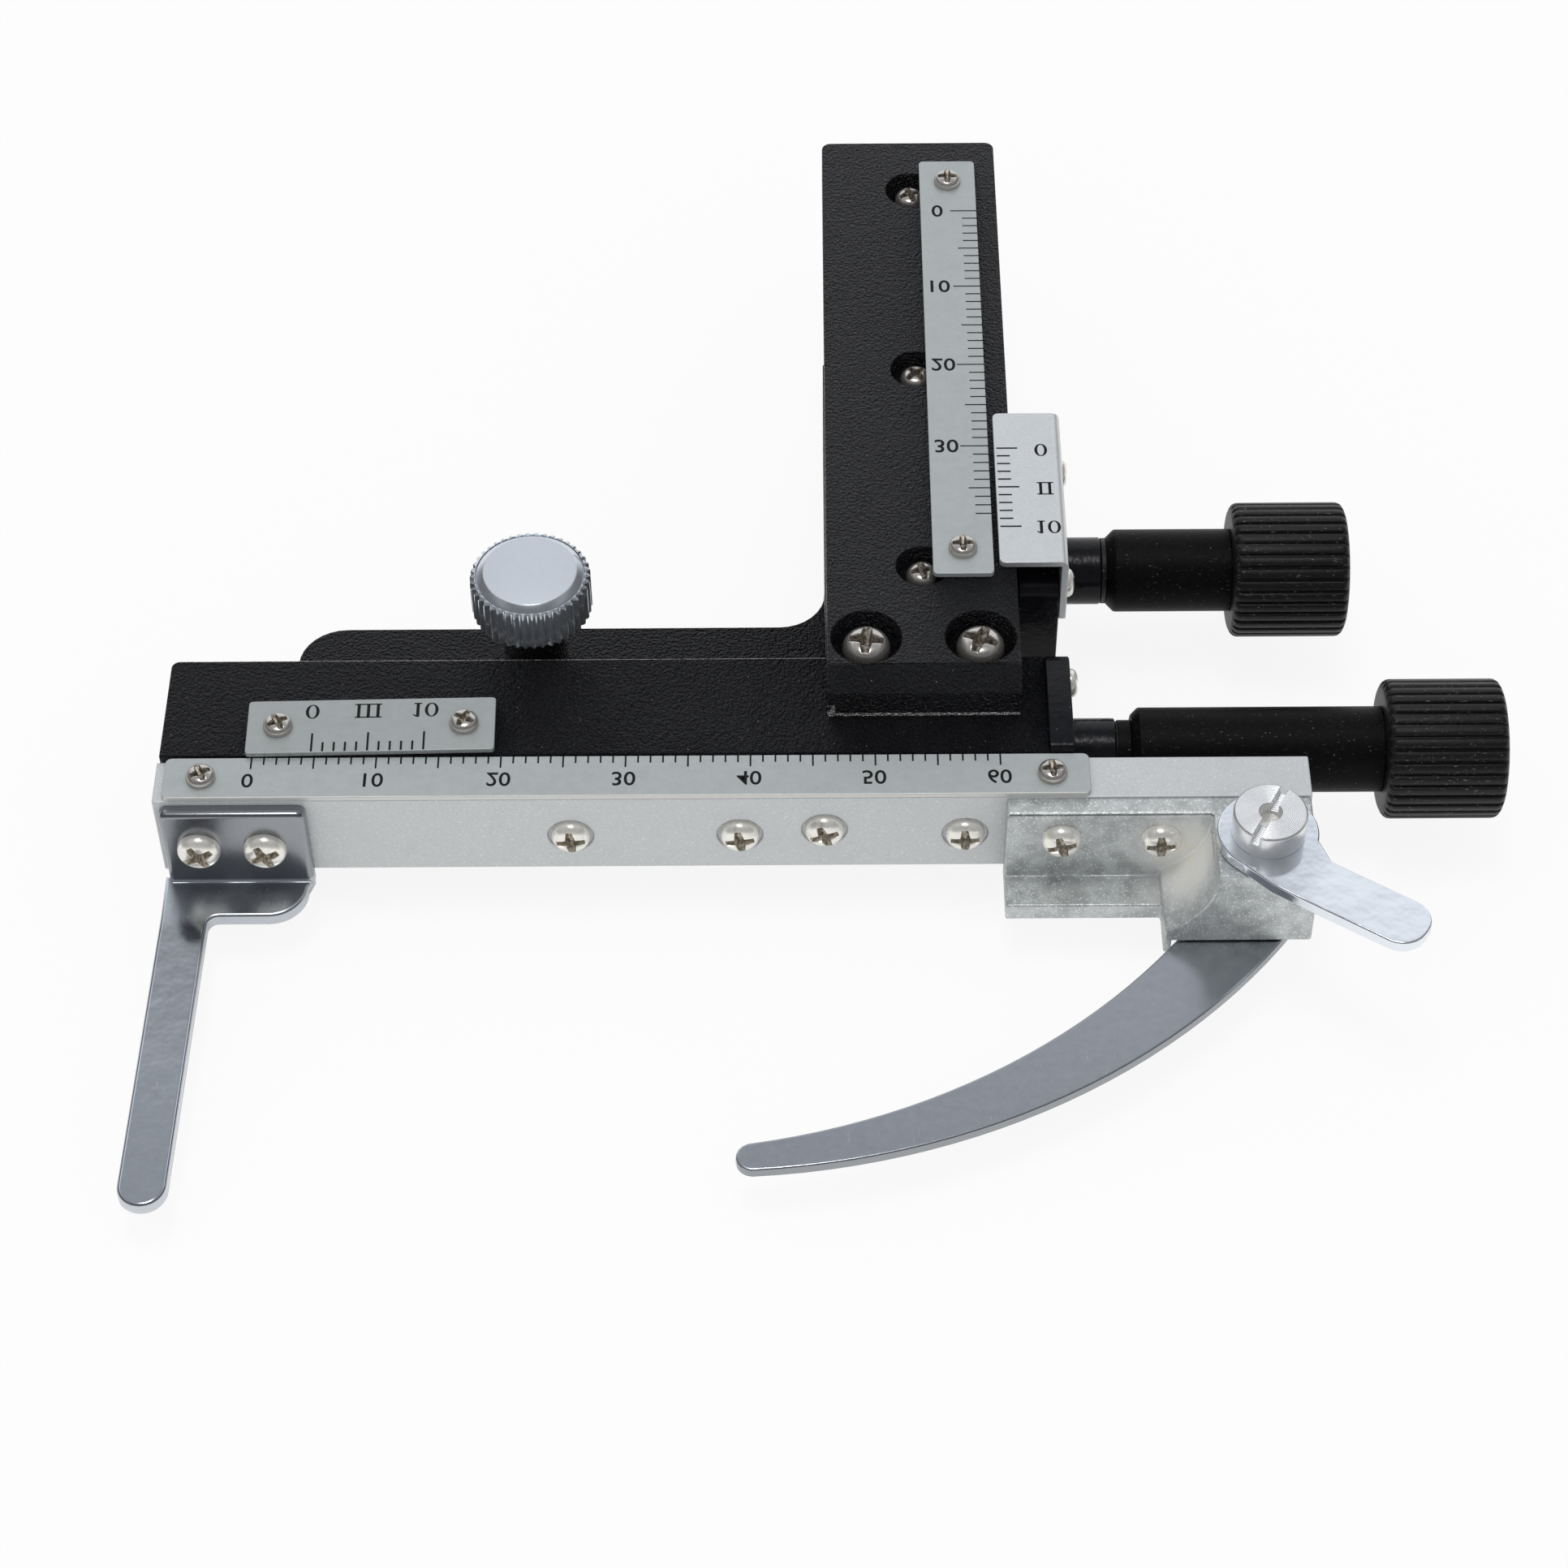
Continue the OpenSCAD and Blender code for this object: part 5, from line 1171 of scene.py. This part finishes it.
class MSTAGE_OT_knobs(bpy.types.Operator):
    """Build both ribbed knobs and their sleeves"""

    bl_idname = "mstage.knobs"
    bl_label = "Build Knobs"

    def execute(self, context):
        sizes = context.scene.mstage_sizes
        ring_of_ribs = ring_tree()
        depth = sizes.rib_depth / MM
        half = math.pi / sizes.rib_count
        for node in ("y_knob", "x_knob"):
            low, high = to_mm(node)
            crest = (high.z - low.z) / 2
            root, length = crest - depth, high.x - low.x
            centre = (low.x, (low.y + high.y) / 2, (low.z + high.z) / 2)
            rim = 0.5
            bm = bmesh.new()
            arc = [(root - rim + rim * math.sin(a), rim - rim * math.cos(a))
                   for a in (0.0, 0.4, 0.8, 1.2, 1.57)]
            lathe(bm, [(0, 0.35), (2.9, 0.35), (3.4, 0.02), (3.7, 0.0)] + arc
                  + [(r, length - h) for r, h in arc[::-1]] + [(0, length)], (0, 0, 0), "X", 68)
            core = build(node + "_core", bm, 40.0, "black_knob")
            bm = bmesh.new()
            sections = []
            ends = [(0.08, 0.55), (0.16, 0.34), (0.3, 0.16), (0.5, 0.04), (0.75, 0.0)]
            for x, drop in ends + [(length - x, drop) for x, drop in ends[::-1]]:
                flank = [(root - 0.12 - drop, half * 0.93), (root - drop, half * 0.86),
                         (crest - drop - 0.06, half * 0.70), (crest - drop, half * 0.52)]
                sections.append([(x, r * math.cos(a), r * math.sin(a))
                                 for r, a in [(r, -a) for r, a in flank] + flank[::-1]])
            loft(bm, sections)
            ribs = build(node + "_ribs", bm, 55.0)
            grow(ribs, ring_of_ribs, Count=sizes.rib_count, Axis=(1.0, 0.0, 0.0),
                 Finish=FINISHES["black_knob"])
            for part in (core, ribs):
                part.data.transform(Matrix.Translation(Vector(centre) * MM))
            settle(join(node + "_dressed", [core, ribs]), [node])
        for node in ("y_sleeve", "x_sleeve", "x_collar"):
            soften(node, "black_sleeve", 0.1 * MM, segments=2)
        for node, bush, gap in (("y_sleeve", "y_bush", 0.05), ("x_collar", "x_bush", 0.03)):
            low, high = to_mm(node)
            near, far = to_mm(bush)
            middle = (low + high) / 2
            outer, start = (far.z - near.z) / 2 - 0.06, far.x + gap
            outer = min(outer, (high.z - low.z) / 2 - 0.1)
            bm = bmesh.new()
            lathe(bm, [(1.6, start), (outer - 0.04, start), (outer, start + 0.04),
                       (outer, low.x + 0.02), (1.6, low.x + 0.02), (1.6, start)],
                  (0, middle.y, middle.z), "X", 48)
            settle(build(node + "_ring", bm, 40.0, "black_knob"),
                   [], NODES[node]["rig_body"])
        return {"FINISHED"}


class MSTAGE_OT_finger(bpy.types.Operator):
    """Stamp the fixed finger: flange, bend, shelf and long finger with rolled edges"""

    bl_idname = "mstage.finger"
    bl_label = "Dress Fixed Finger"

    def execute(self, context):
        roll = context.scene.mstage_sizes.plated_edge / MM
        low, high = to_mm("fixed_finger")
        thick, wide, shelf_deep = 1.15, 11.7, 3.6  # sheet, flange, shelf before the flange
        tip, inner, outer = 1.925, 0.9, 3.0  # radii of the round end and of the shelf's corners
        right, back, foot = high.x, high.y, low.z
        left, front, shelf = right - wide, back - thick, foot + thick
        round_r = 0.7  # corners of the flange
        edge, reach = front - shelf_deep, low.y
        finger = left - 0.4 + 2 * tip
        pieces = []

        bm = bmesh.new()
        rolled_plate(bm, [(left - 0.4, front + 0.6), (left - 0.4, edge)]
                     + curve((low.x + tip, reach + tip), tip, 180, 360, 18)
                     + [(finger - 0.06, edge - 1.5)]
                     + curve((finger + 0.85, edge - inner), inner, 180, 90, 6)
                     + curve((right - 0.45 - outer, edge + outer), outer, -90, 0, 12)
                     + [(right, front + 0.6)], foot, shelf, roll)
        pieces.append(build("shelf", bm, 50.0, "finger_chrome"))

        bm = bmesh.new()
        rolled_plate(bm, [(left, foot + 0.5), (right, foot + 0.5)]
                     + curve((right - round_r, high.z - round_r), round_r, 0, 90, 6)
                     + curve((left + round_r, high.z - round_r), round_r, 90, 180, 6),
                     -back, -front, roll * 1.35)
        bm.transform(Matrix(((1, 0, 0, 0), (0, 0, -1, 0), (0, 1, 0, 0), (0, 0, 0, 1))))
        pieces.append(build("flange", bm, 50.0, "finger_chrome"))

        bm = bmesh.new()
        bend = 0.2
        profile = [(front + 0.2, shelf - 0.2), (front + 0.2, shelf + bend)] + [
            (y, z) for y, z in curve((front - bend, shelf + bend), bend, 0, -90, 7)] + [
            (front - bend, shelf - 0.2)]
        loft(bm, [[(x, y, z) for y, z in profile] for x in (left + 0.25, right - 0.25)])
        pieces.append(build("bend", bm, 40.0, "finger_chrome"))
        settle(join("fixed_finger_dressed", pieces), ["fixed_finger"])
        return {"FINISHED"}


class MSTAGE_OT_clamp(bpy.types.Operator):
    """Dress the cast bracket, the clamp arm, the thumb lever and its slotted nut"""

    bl_idname = "mstage.clamp"
    bl_label = "Dress Clamp"

    def execute(self, context):
        sizes = context.scene.mstage_sizes
        low, high = to_mm("pivot_nut")
        pivot = Vector(((low.x + high.x) / 2, (low.y + high.y) / 2))
        angle = math.radians(-35)
        paddle = Vector((math.cos(angle), math.sin(angle)))

        def bend(bm):
            geometry = bm.verts[:] + bm.edges[:] + bm.faces[:]
            for reach in (4.4, 5.0, 5.6, 6.2, 7.0):
                point = pivot + paddle * reach
                geometry = bmesh.ops.bisect_plane(
                    bm, geom=geometry, plane_co=(point.x * MM, point.y * MM, 0),
                    plane_no=(paddle.x, paddle.y, 0))["geom"]
            for vert in bm.verts:
                reach = (vert.co.xy / MM - pivot).dot(paddle) - LEVER_START
                if reach > 0:
                    run = min(reach, LEVER_BEND)
                    vert.co.z += LEVER_SLOPE * (run ** 2 / 2 / LEVER_BEND + reach - run) * MM

        soften("clamp_bracket", "zinc_plate", sizes.bracket_edge)
        soften("clamp_arm", "arm_chrome_shaded", 0.2 * MM, segments=4, angle=40.0)
        soften("thumb_lever", "lever_chrome_lit", 0.16 * MM, angle=40.0, reshape=bend)
        soften("pivot_nut", "turned_aluminium", 0.06 * MM, segments=2, angle=40.0)
        return {"FINISHED"}


class MSTAGE_OT_inner_parts(bpy.types.Operator):
    """Give the slides, drives and pins that stay as CAD solids their metals"""

    bl_idname = "mstage.inner_parts"
    bl_label = "Finish Inner Parts"

    def execute(self, context):
        for finish, nodes in (
                ("steel", ("locating_pins", "y_rail", "y_rack", "rack_screws", "bearing_screws",
                           "y_shaft", "x_rail", "torsion_spring")),
                ("nickel", ("pivot_shaft",)),
                ("brass", ("y_pinion", "x_lead_screw", "x_nut"))):
            for node in nodes:
                NODES[node].data.materials.clear()
                NODES[node].data.materials.append(FINISHES[finish])
        return {"FINISHED"}


def studio_world(ambient):
    """White for the camera, soft light from above and in front, a lit back wall for metal."""
    world = bpy.data.worlds.new("studio")
    world.use_nodes = True
    world.node_tree.nodes.clear()
    sheet = Sheet(world.node_tree)
    bpy.context.scene.world = world
    way = sheet.node("ShaderNodeTexCoord", out="Generated")
    parts = sheet.split(way)
    up, back = parts.of("Z"), parts.of("Y")
    wall, front, side = (sheet.node("ShaderNodeValToRGB", stops=stops, Fac=up) for stops in (
        ((0.0, (0.95, 0.96, 1.0)), (0.75, (0.95, 0.965, 1.0)), (0.782, (0.38, 0.395, 0.42)),
         (0.93, (0.34, 0.355, 0.38)), (1.0, (0.5, 0.51, 0.54))),
        ((0.0, (0.5, 0.5, 0.51)), (0.3, (0.2, 0.2, 0.21)), (0.6, (0.13, 0.13, 0.14)),
         (0.85, (0.12, 0.12, 0.13)), (1.0, (0.62, 0.63, 0.66))),
        ((0.0, grey(0.42)), (0.3, (0.1, 0.1, 0.105)), (0.6, (0.14, 0.14, 0.15)),
         (0.85, (0.45, 0.46, 0.48)))))
    room = sheet.mix(back.rise(-0.15, 0.25), front, wall)
    room = sheet.mix(abs(parts).rise(0.42, 0.72), room, side)
    path = sheet.node("ShaderNodeLightPath")
    glossy = path.of("Is Glossy Ray") + path.of("Is Transmission Ray")
    soft = sheet.mix(back.rise(-0.9, 0.9), grey(ambient * 1.2), grey(ambient * 0.75))
    light = sheet.mix(glossy, soft, room)
    light = sheet.mix(path.of("Is Camera Ray"), light, grey(1.0))
    shader = sheet.node("ShaderNodeBackground", Color=light, Strength=1.0)
    sheet.node("ShaderNodeOutputWorld", Surface=shader)


def studio_floor():
    """Pale floor that keeps a soft shadow."""
    sheet, at = new_finish("studio_floor")
    grain = sheet.noise(at, 0.05, 2.0)
    path = sheet.node("ShaderNodeLightPath")
    seen = (path.of("Is Camera Ray") + path.of("Is Transmission Ray")
            + path.of("Is Glossy Ray") * 0.6)
    matt = sheet.node("ShaderNodeBsdfDiffuse",
                      Color=sheet.mix(grain, grey(0.9), grey(0.92)))
    white = sheet.node("ShaderNodeEmission", Color=grey(1.0), Strength=1.0)
    shader = sheet.node("ShaderNodeMixShader", seen * 0.88, matt, white)
    sheet.node("ShaderNodeOutputMaterial", Surface=shader)
    z = CAD_BOX[0][2] - FLOOR_GAP * MM
    mesh = bpy.data.meshes.new("floor")
    mesh.from_pydata([(x, y, z) for x, y in bar(0.0, 0.0, FLOOR_SIDE, FLOOR_SIDE)],
                     [], [(0, 1, 2, 3)])
    new_piece("floor", mesh, "studio_floor")


def add_lamp(name, place, size, power, colour):
    lamp = bpy.data.lights.new(name, "AREA")
    lamp.shape = "RECTANGLE"
    lamp.size, lamp.size_y = size
    lamp.energy = power
    lamp.color = colour
    light = bpy.data.objects.new(name, lamp)
    light.location = place
    way = LAMP_AIM - Vector(place)
    light.rotation_euler = way.to_track_quat("-Z", "Y").to_euler()
    bpy.context.scene.collection.objects.link(light)


class MSTAGE_OT_studio(bpy.types.Operator):
    """Set up the floor, the light and the camera"""

    bl_idname = "mstage.studio"
    bl_label = "Set Up Studio"

    def execute(self, context):
        settings = context.scene.mstage_studio
        studio_world(settings.ambient)
        studio_floor()
        add_lamp("overhead_softbox", place=(-0.02, -0.03, 0.7), size=(0.24, 0.2),
                 power=settings.lamp_power, colour=(1.0, 0.995, 0.985))
        data = bpy.data.cameras.new("photo_camera")
        data.lens = settings.lens
        data.sensor_width = 36.0
        data.clip_start = 0.01
        camera = bpy.data.objects.new("photo_camera", data)
        pitch, yaw, roll = settings.camera_pitch, settings.camera_yaw, settings.camera_roll
        ahead = Vector((-math.sin(yaw) * math.cos(pitch), math.cos(yaw) * math.cos(pitch),
                        -math.sin(pitch)))
        right = Vector((math.cos(yaw), math.sin(yaw), 0.0))
        up = right.cross(ahead)
        level, lift = (math.cos(roll) * right + math.sin(roll) * up,
                       math.cos(roll) * up - math.sin(roll) * right)
        turn = Matrix((level, lift, -ahead)).transposed().to_4x4()
        spot = Vector(settings.target) - ahead * settings.camera_distance
        camera.matrix_world = Matrix.Translation(spot) @ turn
        context.scene.collection.objects.link(camera)
        context.scene.camera = camera
        context.scene.view_settings.view_transform = "Standard"
        return {"FINISHED"}


class MSTAGE_OT_finishes(bpy.types.Operator):
    """Make every finish of the stage"""

    bl_idname = "mstage.finishes"
    bl_label = "Make Finishes"

    def execute(self, context):
        make_finishes(context.scene.mstage_colours)
        return {"FINISHED"}


STEPS = (MSTAGE_OT_finishes, MSTAGE_OT_castings, MSTAGE_OT_scale_plates, MSTAGE_OT_slide_bar,
         MSTAGE_OT_screws, MSTAGE_OT_thumb_screw, MSTAGE_OT_knobs, MSTAGE_OT_finger,
         MSTAGE_OT_clamp, MSTAGE_OT_inner_parts, MSTAGE_OT_studio)


class MSTAGE_PT_panel(bpy.types.Panel):
    """Steps and settings of the dressing"""

    bl_label = "Mechanical Stage"
    bl_idname = "MSTAGE_PT_panel"
    bl_space_type = "VIEW_3D"
    bl_region_type = "UI"
    bl_category = "Mechanical Stage"

    def draw(self, context):
        for step in STEPS:
            self.layout.operator(step.bl_idname)
        for label in ("mstage_colours", "mstage_sizes", "mstage_studio"):
            box = self.layout.box()
            settings = getattr(context.scene, label)
            for name in settings.bl_rna.properties.keys():
                if name not in ("rna_type", "name"):
                    box.prop(settings, name)


CLASSES = (StageColours, StageSizes, StudioSettings) + STEPS + (MSTAGE_PT_panel,)


def register():
    for cls in CLASSES:
        bpy.utils.register_class(cls)
    bpy.types.Scene.mstage_colours = PointerProperty(type=StageColours)
    bpy.types.Scene.mstage_sizes = PointerProperty(type=StageSizes)
    bpy.types.Scene.mstage_studio = PointerProperty(type=StudioSettings)


def unregister():
    del bpy.types.Scene.mstage_studio
    del bpy.types.Scene.mstage_sizes
    del bpy.types.Scene.mstage_colours
    for cls in reversed(CLASSES):
        bpy.utils.unregister_class(cls)


def main():
    register()
    for step in STEPS:
        area, name = step.bl_idname.split(".")
        getattr(getattr(bpy.ops, area), name)()


if __name__ == "__main__":
    main()
